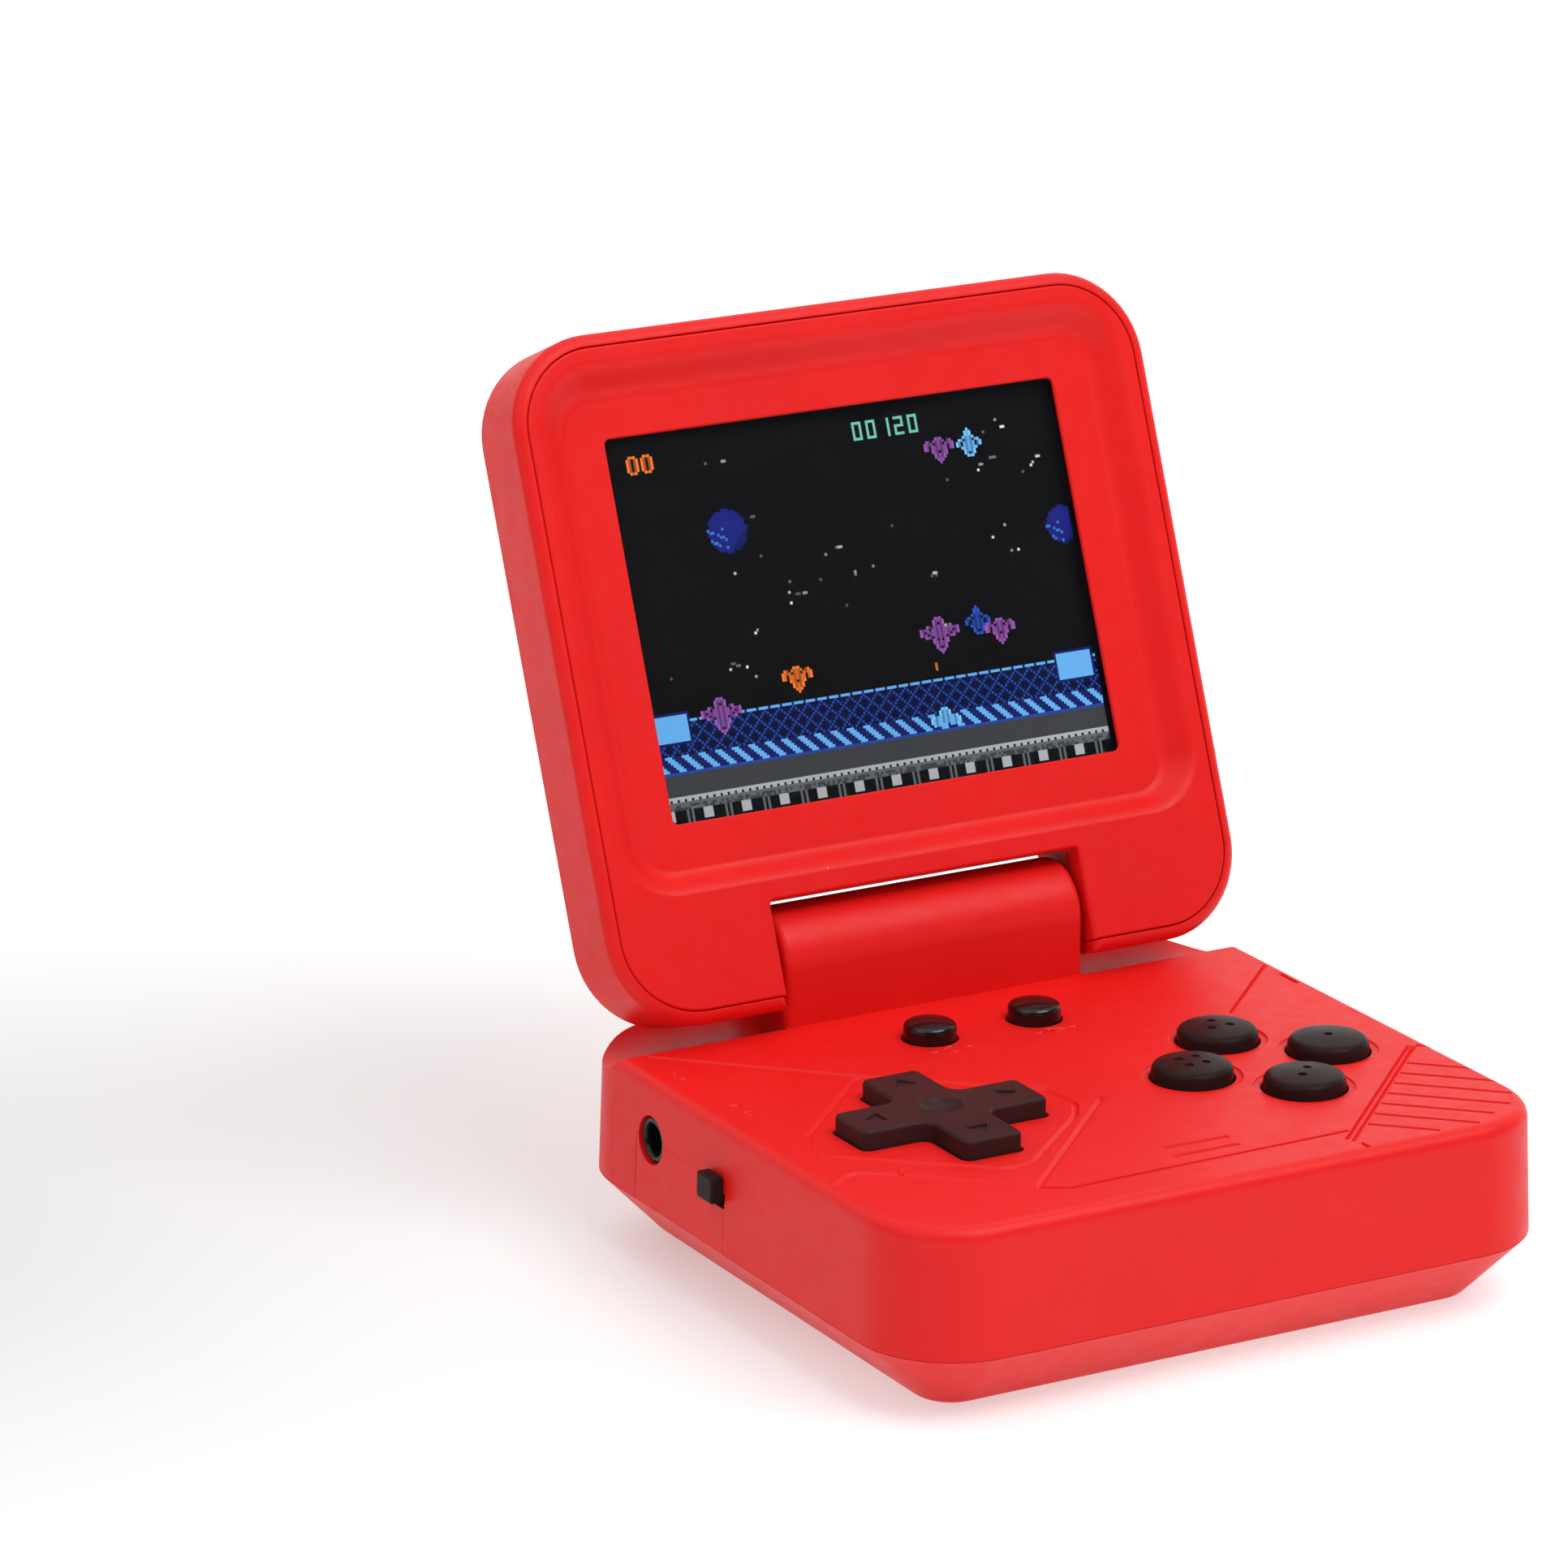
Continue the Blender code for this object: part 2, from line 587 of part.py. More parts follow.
def cable(name, points, radius, parent=None):
    """A round bundle of wires along a smooth path through the points."""
    curve = bpy.data.curves.new(name, "CURVE")
    curve.dimensions = "3D"
    spline = curve.splines.new("POLY")
    path = smooth(points)
    spline.points.add(len(path) - 1)
    for point, place_at in zip(spline.points, path):
        point.co = (*(Vector(place_at) * MM), 1.0)
    curve.bevel_depth = radius * MM
    curve.bevel_resolution = 2
    curve.use_fill_caps = True
    curve.render_resolution_u = 0
    curve.materials.append(material("cable"))
    made = bpy.data.objects.new(name, curve)
    made.parent = parent
    bpy.context.scene.collection.objects.link(made)


def smooth(points, steps=5):
    """Catmull-Rom points through the given ones."""
    ring = [Vector(p) for p in points]
    ring = [2 * ring[0] - ring[1], *ring, 2 * ring[-1] - ring[-2]]
    path = []
    for a, b, c, d in zip(ring, ring[1:], ring[2:], ring[3:]):
        for k in range(steps):
            t = k / steps
            square = (2 * a - 5 * b + 4 * c - d) * t**2
            cube = (3 * b - a - 3 * c + d) * t**3
            path.append(0.5 * (2 * b + (c - a) * t + square + cube))
    return [*path, ring[-2]]


def display_cables(lid):
    """The screen's wires run along the hinge axis inside the barrel, so the lid turns about them."""
    y, z = HINGE_Y, HINGE_Z
    base_path = [(-8, 21.0, 16.4), (-7, 25.0, 15.7), (-5.5, y - 2.4, 15.3)]
    base_path += [(-4.5, y - 0.3, 17.4), (-4, y, 21.5), (-2.5, y, 25.8), (1, y, z - 0.2), (7.5, y, z)]
    cable("display_cable_base", base_path, 0.8)
    lid_path = [(8.6, 0, 0), (18, 0, 0), (28, 0, 0), (30.5, 4.0, -0.8), (29.5, 9.0, -1.8)]
    lid_path += [(26, 14.0, -1.85), (20, 19.3, -1.85)]
    cable("display_cable_lid", lid_path, 0.8, lid)


# Lid


def lid_back_shell(lid):
    levels = [
        (LID_TAPER + 0.7, LID_BACK),
        (LID_TAPER + 0.2, LID_BACK + 0.2),
        (LID_TAPER, LID_BACK + 0.7),
        (0.0, LID_FACE - 1.0),
        (0.3, LID_FACE - 0.3),
        (0.8, LID_FACE),
    ]
    shell = place("lid_back_shell", stack(lid_outline(), levels), lid, coat="red_abs")
    pocket = stack(lid_rectangle(), [(LID_RIM, LID_BACK + LID_WALL), (LID_RIM, LID_FACE + 3)])
    cut(shell, place("lid_pocket", pocket, lid))
    # The walls beside the notch stop just under the bezel.
    notch, top, low, high = NOTCH_HALF_X, NOTCH_TOP, LID_BACK + 1.0, LENS_FACE
    for side in (-1, 1):
        x0, x1 = sorted((side * notch, side * (notch + LID_WALL)))
        cheek = block(x0, x1, LID_LOW + 0.8, top + LID_WALL, low, high)
        join(shell, place("ear_cheek", cheek, lid))
    ledge = block(-notch - 0.5, notch + 0.5, top, top + LID_WALL, low, high)
    join(shell, place("notch_ledge", ledge, lid))
    cut(shell, place("ear_bores", rod("X", PIN_R + GAP, -23.0, 23.0, 20), lid))


def lid_rectangle():
    """The lid's outline without its notch."""
    x, low, high, r = LID_HALF_X, LID_LOW, LID_HIGH, LID_CORNER
    return [(-x, low, r), (x, low, r), (x, high, r), (-x, high, r)]


def lid_bezel(lid):
    """The screen's surround, which reaches the notch: a dish with a sloping edge round the window."""
    back = LENS_FACE + GAP
    inset = LID_RIM + GAP
    levels = [(inset, back), (inset, LID_FACE - 0.2), (inset + 0.2, LID_FACE)]
    bezel = place("lid_bezel", stack(lid_rectangle(), levels), lid, coat="red_abs")
    notch = screen_outline(NOTCH_HALF_X, LID_LOW - 5, NOTCH_TOP, 1.0)
    cut(bezel, place("bezel_notch", stack(notch, [(0, back - 5), (0, LID_FACE + 5)], 3), lid))
    outer = rounded(screen_outline(*DISH_OUTER), 0, 6)
    inner = rounded(screen_outline(*DISH_INNER), 0, 6)
    # The cutter goes on past the face at the same slope.
    above = [(*(2 * p - q), LID_FACE + DISH_DEPTH) for p, q in zip(outer, inner)]
    below = [(*q, LID_FACE - DISH_DEPTH) for q in inner]
    cut(bezel, place("dish", loft([above, below]), lid))
    half = SCREEN_Y / 2
    window = screen_outline(SCREEN_X / 2, SCREEN_MID - half, SCREEN_MID + half, 0.6)
    cut(bezel, place("window", stack(window, [(0, 0), (0, 9)], 3), lid))


def display_stack(lid):
    layers = (
        ("screen_lens", 61.6, 48.0, LENS_FACE - 1.0, LENS_FACE, 0.0, "lens"),
        ("lcd_panel", 64.0, 48.5, 0.5, LENS_FACE - 1.3, 0.0, "display"),
        ("lcd_tray", 66.0, 50.5, -0.9, 0.2, -0.6, "steel"),
        ("display_board", 50.0, 40.0, -2.3, -1.2, 2.0, "copper_board"),
    )
    for name, wide, tall, low, high, shift, coat in layers:
        middle = SCREEN_MID + shift
        outline = screen_outline(wide / 2, middle - tall / 2, middle + tall / 2, 1.0)
        place(name, stack(outline, [(0, low), (0, high)], 2), lid, coat=coat)


def lid_frame():
    """The empty on the hinge axis that carries the lid, turned to the open pose."""
    frame = bpy.data.objects.new("lid_frame", None)
    frame.location = Vector((0, HINGE_Y, HINGE_Z)) * MM
    frame.rotation_euler = (math.pi / 2 - LEAN, 0, 0)
    bpy.context.scene.collection.objects.link(frame)
    return frame


def build():
    clear_scene()
    base_top_shell()
    base_bottom_shell()
    battery_door()
    screws()
    battery_pack()
    circuit_board()
    audio_jack()
    power_switch()
    speaker()
    controls()
    membranes()
    lid = lid_frame()
    hinge_parts(lid)
    display_cables(lid)
    lid_back_shell(lid)
    lid_bezel(lid)
    display_stack(lid)


build()
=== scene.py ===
"""The looks of a clamshell handheld video game: moulded shells, controls and a lit screen.

Lengths are in millimetres and turn into metres as each mesh is made. Base pieces use the frame's own axes.
Lid pieces use the lid's frame, which starts at the hinge axis: x right, y up the lid, z out of the screen.
"""

import json
import math

import bmesh
import bpy
from mathutils import Matrix, Vector


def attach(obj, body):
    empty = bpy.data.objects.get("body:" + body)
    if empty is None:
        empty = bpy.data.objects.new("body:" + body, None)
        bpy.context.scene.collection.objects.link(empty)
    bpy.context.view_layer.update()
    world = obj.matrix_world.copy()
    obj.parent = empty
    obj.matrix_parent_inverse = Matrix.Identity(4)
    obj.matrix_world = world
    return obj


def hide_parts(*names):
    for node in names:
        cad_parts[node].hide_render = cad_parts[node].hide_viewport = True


MM = 0.001
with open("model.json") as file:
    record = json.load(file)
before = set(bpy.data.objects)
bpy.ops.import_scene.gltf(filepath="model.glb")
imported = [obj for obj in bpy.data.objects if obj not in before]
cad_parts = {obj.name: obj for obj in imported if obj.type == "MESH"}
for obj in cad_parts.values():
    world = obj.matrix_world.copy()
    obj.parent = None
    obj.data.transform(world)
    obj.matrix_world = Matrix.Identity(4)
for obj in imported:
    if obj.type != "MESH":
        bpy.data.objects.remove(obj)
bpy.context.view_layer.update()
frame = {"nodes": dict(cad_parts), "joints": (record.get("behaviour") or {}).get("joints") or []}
NODES = frame["nodes"]


def joint(name):
    return next(j for j in frame["joints"] if j["name"] == name)


def size_of(node, into=Matrix.Identity(4)):
    """A CAD node's lowest and highest corner in millimetres, seen through the matrix."""
    points = [into @ v.co for v in NODES[node].data.vertices]
    low = Vector(min(p[i] for p in points) / MM for i in range(3))
    high = Vector(max(p[i] for p in points) / MM for i in range(3))
    return low, high


def middle(node):
    low, high = size_of(node)
    return (low + high) / 2


# Where things are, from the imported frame
HINGE = Vector(joint("lid_hinge")["pos_m"])
LEAN = math.radians(joint("lid_hinge")["range_deg"][1] - 90)
LID = Matrix.Translation(HINGE) @ Matrix.Rotation(math.pi / 2 - LEAN, 4, "X")
TOP_LOW, TOP_HIGH = size_of("base_top_shell")
LID_LOW, LID_HIGH = size_of("lid_back_shell", LID.inverted())
JACK, SWITCH = middle("audio_jack"), middle("power_switch_knob")
DOOR_LOW, DOOR_HIGH = size_of("battery_door")

# Base casing
DRAFT = 0.5
HALF_X, HALF_Y = TOP_HIGH.x - DRAFT, TOP_HIGH.y - DRAFT
CORNER = 10.6
FACE = 21.9  # height of the face plate
PARTING = TOP_LOW.z
PLATE, WALL = 1.6, 1.8
CREASE = 1.6
SEAM = 0.03  # half the gap between the two shells
CHAMFER = 6.7
HINGE_Y, HINGE_Z = HINGE.y / MM, HINGE.z / MM
BARREL_R = TOP_HIGH.z - HINGE_Z
BARREL_END = 19.25
TROUGH_R = 8.7
BED_FRONT, BED_FOOT = 24.4, 17.7  # the thick rear that the troughs are cut from
CLUTCH_R, CLUTCH_END = 4.2, 16.4
PIN_R = 2.3
TAB_FRONT, TAB_REAR = 1.9, 21.9
SLOT_FRONT, SLOT_REAR, SLOT_HALF = TAB_FRONT - 0.1, TAB_FRONT + 6.1, 0.85
INSIDE = -36.5  # past the inner face of the left wall
BEYOND = 45  # past either side wall

# Battery bay, cover and screws
BAY_LOW, BAY_HIGH = Vector((-24.6, -19.1, 0)), Vector((24.6, 15.1, 12.7))
BAY_WALL = 0.9
FLOOR_IN = 0.9  # where bosses start, inside the tray's floor
DOOR_GAP = 0.25

# Lid casing, in the lid's frame
LID_CORNER = 10.5
RIM = 1.45
LID_WALL = 1.6
NOTCH_X, NOTCH_TOP = 19.8, 6.1
SCREEN_X, SCREEN_Y, SCREEN_MID = 57.6, 43.2, 37.8
DISH_DEPTH = 2.2
DISH_FLOOR = LID_HIGH.z - DISH_DEPTH
DISH_OUTER = (-37.0, 37.0, 8.8, 67.3, 6.6)
DISH_INNER = (-34.1, 34.1, 10.7, 64.4, 4.2)
LENS_FACE = size_of("screen_lens", LID.inverted())[1].z


# Shapes. Each returns a bmesh in millimetres.


def rounded(corners, inset=0.0, steps=14):
    """An outline with round corners, from counterclockwise (x, y, radius) corners moved in by inset."""
    count = len(corners)
    points = [Vector(c[:2]) for c in corners]
    inward = []
    for i in range(count):
        along = (points[(i + 1) % count] - points[i]).normalized()
        inward.append(Vector((-along.y, along.x)))
    outline = []
    for i in range(count):
        before, after = inward[i - 1], inward[i]
        turn = before.x * after.y - before.y * after.x
        moved = points[i] + (before + after) * (inset / (1 + before.dot(after)))
        radius = corners[i][2] - inset if turn > 0 else corners[i][2] + inset
        radius = max(radius, 0.05)
        side = 1 if turn > 0 else -1
        centre = moved + (before + after) * (side * radius / (1 + before.dot(after)))
        start = math.atan2(-before.y, -before.x)
        sweep = math.atan2(turn, before.dot(after))
        for k in range(steps + 1):
            angle = start + sweep * k / steps
            outline.append(centre + side * radius * Vector((math.cos(angle), math.sin(angle))))
    return outline


def rectangle(x0, x1, y0, y1, radius=0.05):
    return [(x0, y0, radius), (x1, y0, radius), (x1, y1, radius), (x0, y1, radius)]


def loft(rings, loop=False):
    """A closed body through rings of equally many points, as a loop or with a flat cap at each end."""
    bm = bmesh.new()
    made = [[bm.verts.new(p) for p in ring] for ring in rings]
    if loop:
        made.append(made[0])
    else:
        bm.faces.new(made[0])
        bm.faces.new(made[-1][::-1])
    for low, high in zip(made, made[1:]):
        for i in range(len(low)):
            j = (i + 1) % len(low)
            bm.faces.new((low[i], low[j], high[j], high[i]))
    return bm


def stack(corners, levels, steps=14):
    """A lofted body whose outline is inset and raised by each (inset, z) in levels."""
    return loft([[(*p, z) for p in rounded(corners, inset, steps)] for inset, z in levels])


def arc(inset, z, radius, first, last, steps=6):
    """Levels along a circle about (inset, z). At 180 degrees it is outermost, and at 90 it is on top."""
    levels = []
    for k in range(steps + 1):
        angle = math.radians(first + (last - first) * k / steps)
        levels.append((inset + radius * math.cos(angle), z + radius * math.sin(angle)))
    return levels


def turned(profile, sides=64, axis="Z"):
    """A body of revolution from (radius, height) pairs, closed by flat ends."""
    rings = []
    for radius, height in profile:
        ring = []
        for k in range(sides):
            angle = 2 * math.pi * k / sides
            ring.append((radius * math.cos(angle), radius * math.sin(angle), height))
        rings.append(ring)
    bm = loft(rings)
    if axis == "X":
        bmesh.ops.rotate(bm, matrix=Matrix.Rotation(math.pi / 2, 3, "Y"), verts=bm.verts)
    return bm


def rod(radius, half, sides=40):
    """A round bar along x, centred on the origin."""
    return turned([(radius, -half), (radius, half)], sides, "X")


def block(x0, x1, y0, y1, z0, z1):
    return stack(rectangle(x0, x1, y0, y1), [(0, z0), (0, z1)], 1)


def soft_block(x0, x1, y0, y1, z0, z1, edge, corner):
    """A block with round upright corners and soft top and bottom edges."""
    levels = arc(edge, z0 + edge, edge, 270, 180, 4) + arc(edge, z1 - edge, edge, 180, 90, 4)
    return stack(rectangle(x0, x1, y0, y1, corner), levels, 6)


def channel(path, half, depth, floor=0.2, closed=False):
    """A cutter for a groove along a flat path of (x, y) points: wide at the surface and narrower below."""
    points = [Vector(p) for p in path]
    count = len(points)
    rings = []
    for i, point in enumerate(points):
        ahead = points[(i + 1) % count] if closed or i + 1 < count else None
        behind = points[i - 1] if closed or i > 0 else None
        first = (point - behind).normalized() if behind else (ahead - point).normalized()
        second = (ahead - point).normalized() if ahead else first
        across = Vector((-first.y - second.y, first.x + second.x)) / (1 + first.dot(second))
        slope = Vector((0, 0))
        if behind is None:
            slope = second * depth
        elif ahead is None:
            slope = -first * depth
        half_section = [(1.5, 0.4), (1.0, 0.0), (floor, -depth)]
        section = half_section + [(-share, height) for share, height in half_section[::-1]]
        ring = []
        for share, height in section:
            spot = point + across * (half * share) + (slope if height < 0 else Vector((0, 0)))
            ring.append((spot.x, spot.y, height))
        rings.append(ring)
    return loft(rings, closed)


def merged(parts):
    """One bmesh from several."""
    whole = bmesh.new()
    for part in parts:
        bmesh.ops.recalc_face_normals(part, faces=part.faces)
        copy = bpy.data.meshes.new("part")
        part.to_mesh(copy)
        part.free()
        whole.from_mesh(copy)
        bpy.data.meshes.remove(copy)
    return whole


def domed(radius, top, foot, edge, lean, draft=0.0, steps=8):
    """The profile of a round cap from its foot up: a drafted side, a round edge, then a shallow dome."""
    lean = math.radians(lean)
    shoulder = radius - draft
    rim = shoulder - edge + edge * math.sin(lean)
    sphere = rim / math.sin(lean)
    edge_z = top - sphere * (1 - math.cos(lean)) - edge * math.cos(lean)
    profile = [(radius, foot), (shoulder + 0.01, edge_z - 0.05)]
    for k in range(steps + 1):
        angle = (math.pi / 2 - lean) * k / steps
        profile.append((shoulder - edge + edge * math.cos(angle), edge_z + edge * math.sin(angle)))
    for k in range(1, steps + 1):
        angle = lean * (1 - k / steps)
        profile.append((max(sphere * math.sin(angle), 0.03), top - sphere * (1 - math.cos(angle))))
    return profile


# Objects


def solid(name, bm, place=Matrix.Identity(4)):
    """A mesh object in metres from a bmesh in millimetres."""
    bmesh.ops.recalc_face_normals(bm, faces=bm.faces)
    bmesh.ops.scale(bm, vec=(MM, MM, MM), verts=bm.verts)
    mesh = bpy.data.meshes.new(name)
    bm.to_mesh(mesh)
    bm.free()
    made = bpy.data.objects.new(name, mesh)
    made.matrix_world = place
    bpy.context.scene.collection.objects.link(made)
    return made


def at(x, y, z=0.0):
    return Matrix.Translation(Vector((x, y, z)) * MM)


def carve(body, operation, *tools, overlap=False):
    """Joins or cuts the tools, which are used up, and keeps the result as the body's mesh."""
    for tool in tools:
        step = body.modifiers.new("step", "BOOLEAN")
        step.operation = operation
        step.solver = "EXACT"
        step.use_self = overlap
        step.object = tool
    bpy.context.view_layer.update()
    graph = bpy.context.evaluated_depsgraph_get()
    result = bpy.data.meshes.new_from_object(body.evaluated_get(graph))
    body.modifiers.clear()
    old = body.data
    body.data = result
    bpy.data.meshes.remove(old)
    for tool in tools:
        bpy.data.objects.remove(tool)
    return body


def cut(body, *tools, overlap=False):
    return carve(body, "DIFFERENCE", *tools, overlap=overlap)


def join(body, *tools):
    return carve(body, "UNION", *tools)


def dress(piece, body, coat, slot, *nodes, angle=32):
    """Gives a finished piece its material, soft shading and body, and hides the CAD nodes it stands for. The
    slot is not used.
    """
    piece.data.materials.clear()
    piece.data.materials.append(coat)
    piece.data.transform(piece.matrix_world)
    piece.matrix_world = Matrix.Identity(4)
    bm = bmesh.new()
    bm.from_mesh(piece.data)
    bmesh.ops.remove_doubles(bm, verts=bm.verts, dist=1e-6)
    bmesh.ops.dissolve_degenerate(bm, edges=bm.edges, dist=1e-6)
    bm.to_mesh(piece.data)
    bm.free()
    piece.data.shade_smooth()
    piece.data.set_sharp_from_angle(angle=math.radians(angle))
    shading = piece.modifiers.new("even_shading", "WEIGHTED_NORMAL")
    shading.keep_sharp = True
    shading.weight = 80
    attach(piece, body)
    if nodes:
        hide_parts(*nodes)
    return piece


# Materials


def new_material(name):
    made = bpy.data.materials.new(name)
    made.use_nodes = True
    return made, made.node_tree.nodes, made.node_tree.links, made.node_tree.nodes["Principled BSDF"]


def own_place(nodes):
    """The object's own coordinates, from one node that a material's textures share."""
    place = nodes.get("place") or nodes.new("ShaderNodeTexCoord")
    place.name = "place"
    return place.outputs["Object"]


def noise(nodes, links, scale, detail=3.0, roughness=0.55):
    """Noise over the object's own coordinates. The scale is in waves per metre."""
    made = nodes.new("ShaderNodeTexNoise")
    made.inputs["Scale"].default_value = scale
    made.inputs["Detail"].default_value = detail
    made.inputs["Roughness"].default_value = roughness
    links.new(own_place(nodes), made.inputs["Vector"])
    return made


def spread(nodes, links, source, low, high, start=0.3, end=0.7):
    """Maps a texture's value from start..end to low..high."""
    made = nodes.new("ShaderNodeMapRange")
    made.inputs["From Min"].default_value = start
    made.inputs["From Max"].default_value = end
    made.inputs["To Min"].default_value = low
    made.inputs["To Max"].default_value = high
    links.new(source, made.inputs["Value"])
    return made.outputs["Result"]


def tint(nodes, links, source, first, second, start=0.3, end=0.7):
    """A colour that runs from first to second as a texture's value goes from start to end."""
    ramp = nodes.new("ShaderNodeValToRGB")
    ramp.color_ramp.elements[0].position = start
    ramp.color_ramp.elements[0].color = (*first, 1)
    ramp.color_ramp.elements[1].position = end
    ramp.color_ramp.elements[1].color = (*second, 1)
    links.new(source, ramp.inputs["Fac"])
    return ramp.outputs["Color"]


def bump(nodes, links, shader, height, strength, distance):
    made = nodes.new("ShaderNodeBump")
    made.inputs["Strength"].default_value = strength
    made.inputs["Distance"].default_value = distance
    links.new(height, made.inputs["Height"])
    links.new(made.outputs["Normal"], shader.inputs["Normal"])


def specks(nodes, links, spacing, radius):
    """1 inside sparse dust specks and 0 elsewhere, with lengths in metres."""
    cells = nodes.new("ShaderNodeTexVoronoi")
    cells.inputs["Scale"].default_value = 1 / spacing
    links.new(own_place(nodes), cells.inputs["Vector"])
    return spread(nodes, links, cells.outputs["Distance"], 1, 0, 0.7 * radius / spacing, radius / spacing)


def plastic(name, colour, roughness, variation=0.04, grain=0.00003, dust=0.0, specular=0.5):
    """Moulded plastic: faint mottling, fine spark-eroded grain, uneven gloss and a little dust."""
    made, nodes, links, shader = new_material(name)
    mottle = noise(nodes, links, 55)
    low = tuple(c * (1 - variation) for c in colour)
    high = tuple(min(c * (1 + variation), 1) for c in colour)
    shade = tint(nodes, links, mottle.outputs["Fac"], low, high)
    if dust:
        mix = nodes.new("ShaderNodeMix")
        mix.data_type = "RGBA"
        links.new(specks(nodes, links, 0.0055, 0.00009), mix.inputs["Factor"])
        links.new(shade, mix.inputs["A"])
        mix.inputs["B"].default_value = (*(c * (1 - dust) + dust * 0.8 for c in colour), 1)
        shade = mix.outputs["Result"]
    links.new(shade, shader.inputs["Base Color"])
    wear = noise(nodes, links, 420, 4)
    gloss = spread(nodes, links, wear.outputs["Fac"], roughness - 0.05, roughness + 0.06)
    links.new(gloss, shader.inputs["Roughness"])
    shader.inputs["Specular IOR Level"].default_value = specular
    texture = noise(nodes, links, 5200, 2)
    bump(nodes, links, shader, texture.outputs["Fac"], 0.35, grain)
    return made


def metal(name, colour, roughness, along=(1, 1, 1), pitch=900):
    """Plated steel with fine brushing stretched along one direction."""
    made, nodes, links, shader = new_material(name)
    stretch = nodes.new("ShaderNodeMapping")
    stretch.inputs["Scale"].default_value = along
    links.new(own_place(nodes), stretch.inputs["Vector"])
    brushing = noise(nodes, links, pitch, 5)
    links.new(stretch.outputs["Vector"], brushing.inputs["Vector"])
    dark = tuple(c * 0.82 for c in colour)
    links.new(tint(nodes, links, brushing.outputs["Fac"], dark, colour), shader.inputs["Base Color"])
    gloss = spread(nodes, links, brushing.outputs["Fac"], roughness - 0.08, roughness + 0.12)
    links.new(gloss, shader.inputs["Roughness"])
    shader.inputs["Metallic"].default_value = 1.0
    bump(nodes, links, shader, brushing.outputs["Fac"], 0.25, 0.00001)
    return made


def board_material():
    """Green solder mask over faint copper tracks."""
    made, nodes, links, shader = new_material("solder_mask")
    tracks = nodes.new("ShaderNodeTexBrick")
    tracks.inputs["Scale"].default_value = 420
    tracks.inputs["Mortar Size"].default_value = 0.035
    tracks.inputs["Color1"].default_value = (0.012, 0.12, 0.035, 1)
    tracks.inputs["Color2"].default_value = (0.016, 0.15, 0.045, 1)
    tracks.inputs["Mortar"].default_value = (0.05, 0.27, 0.09, 1)
    links.new(own_place(nodes), tracks.inputs["Vector"])
    links.new(tracks.outputs["Color"], shader.inputs["Base Color"])
    shader.inputs["Roughness"].default_value = 0.32
    bump(nodes, links, shader, tracks.outputs["Fac"], 0.3, 0.00003)
    return made


def cell_material():
    """A dry cell's wrapper: a dark body with a copper-coloured band at one end."""
    made, nodes, links, shader = new_material("cell_wrapper")
    split = nodes.new("ShaderNodeSeparateXYZ")
    links.new(own_place(nodes), split.inputs["Vector"])
    body, band = (0.015, 0.03, 0.09), (0.55, 0.25, 0.07)
    links.new(tint(nodes, links, split.outputs["X"], body, band, 0.0090, 0.0092), shader.inputs["Base Color"])
    grime = noise(nodes, links, 600)
    links.new(spread(nodes, links, grime.outputs["Fac"], 0.22, 0.38), shader.inputs["Roughness"])
    bump(nodes, links, shader, grime.outputs["Fac"], 0.1, 0.00003)
    return made


def lens_material():
    """Clear acrylic whose coating cuts its reflections. The faint unevenness is in its polish only."""
    made, nodes, links, shader = new_material("screen_acrylic")
    shader.inputs["Base Color"].default_value = (0.96, 0.97, 0.98, 1)
    shader.inputs["Transmission Weight"].default_value = 1.0
    shader.inputs["IOR"].default_value = 1.2
    polish = noise(nodes, links, 90)
    links.new(spread(nodes, links, polish.outputs["Fac"], 0.015, 0.05), shader.inputs["Roughness"])
    return made


def picture_material():
    """The lit liquid crystal panel, which shows the colours that its mesh carries, cell by cell."""
    made, nodes, links, shader = new_material("lit_picture")
    colours = nodes.new("ShaderNodeVertexColor")
    colours.layer_name = "picture"
    shader.inputs["Base Color"].default_value = (0.004, 0.004, 0.005, 1)
    shader.inputs["Roughness"].default_value = 0.35
    shader.inputs["Specular IOR Level"].default_value = 0.1
    glow = noise(nodes, links, 30)
    links.new(spread(nodes, links, glow.outputs["Fac"], 0.9, 1.05), shader.inputs["Emission Strength"])
    links.new(colours.outputs["Color"], shader.inputs["Emission Color"])
    return made


RED = plastic("red_abs", (0.755, 0.0088, 0.0078), 0.44, 0.03, 0.00003, dust=0.5, specular=0.25)
BLACK = plastic("black_abs", (0.023, 0.011, 0.010), 0.31, 0.15, 0.00002, specular=0.05)
# The pad's black is lighter and redder than the buttons'. Part of this is its own dark plastic, and part is
# painted red light bounced from the casing.
PAINTED_BOUNCE_PAD = plastic("black_pad_painted_red_bounce", (0.042, 0.017, 0.016), 0.34, 0.15, 0.00002, specular=0.08)
GLOSSY = plastic("gloss_black", (0.005, 0.004, 0.004), 0.16, 0.1, 0.000003, specular=0.45)
SOCKET = plastic("socket_black", (0.007, 0.007, 0.008), 0.30, 0.2, 0.00002, specular=0.3)
CHIP = plastic("chip_epoxy", (0.016, 0.016, 0.018), 0.55, 0.2, 0.00005)
RUBBER = plastic("membrane_rubber", (0.30, 0.30, 0.31), 0.68, 0.08, 0.00005)
PANEL = plastic("display_glass_edge", (0.02, 0.022, 0.03), 0.2, 0.1, 0.000005)
WIRE = plastic("wire_sleeve", (0.05, 0.03, 0.028), 0.5, 0.2, 0.00008)
STEEL = metal("plated_steel", (0.62, 0.61, 0.58), 0.32)
PIN_STEEL = metal("ground_steel", (0.66, 0.65, 0.63), 0.24, (1, 30, 30), 260)
SCREW_STEEL = metal("zinc_steel", (0.50, 0.49, 0.47), 0.36)
NICKEL = metal("nickel_plate", (0.70, 0.67, 0.60), 0.28, (1, 8, 8), 400)


# Base


def base_outline():
    return rectangle(-HALF_X, HALF_X, -HALF_Y, HALF_Y, CORNER)


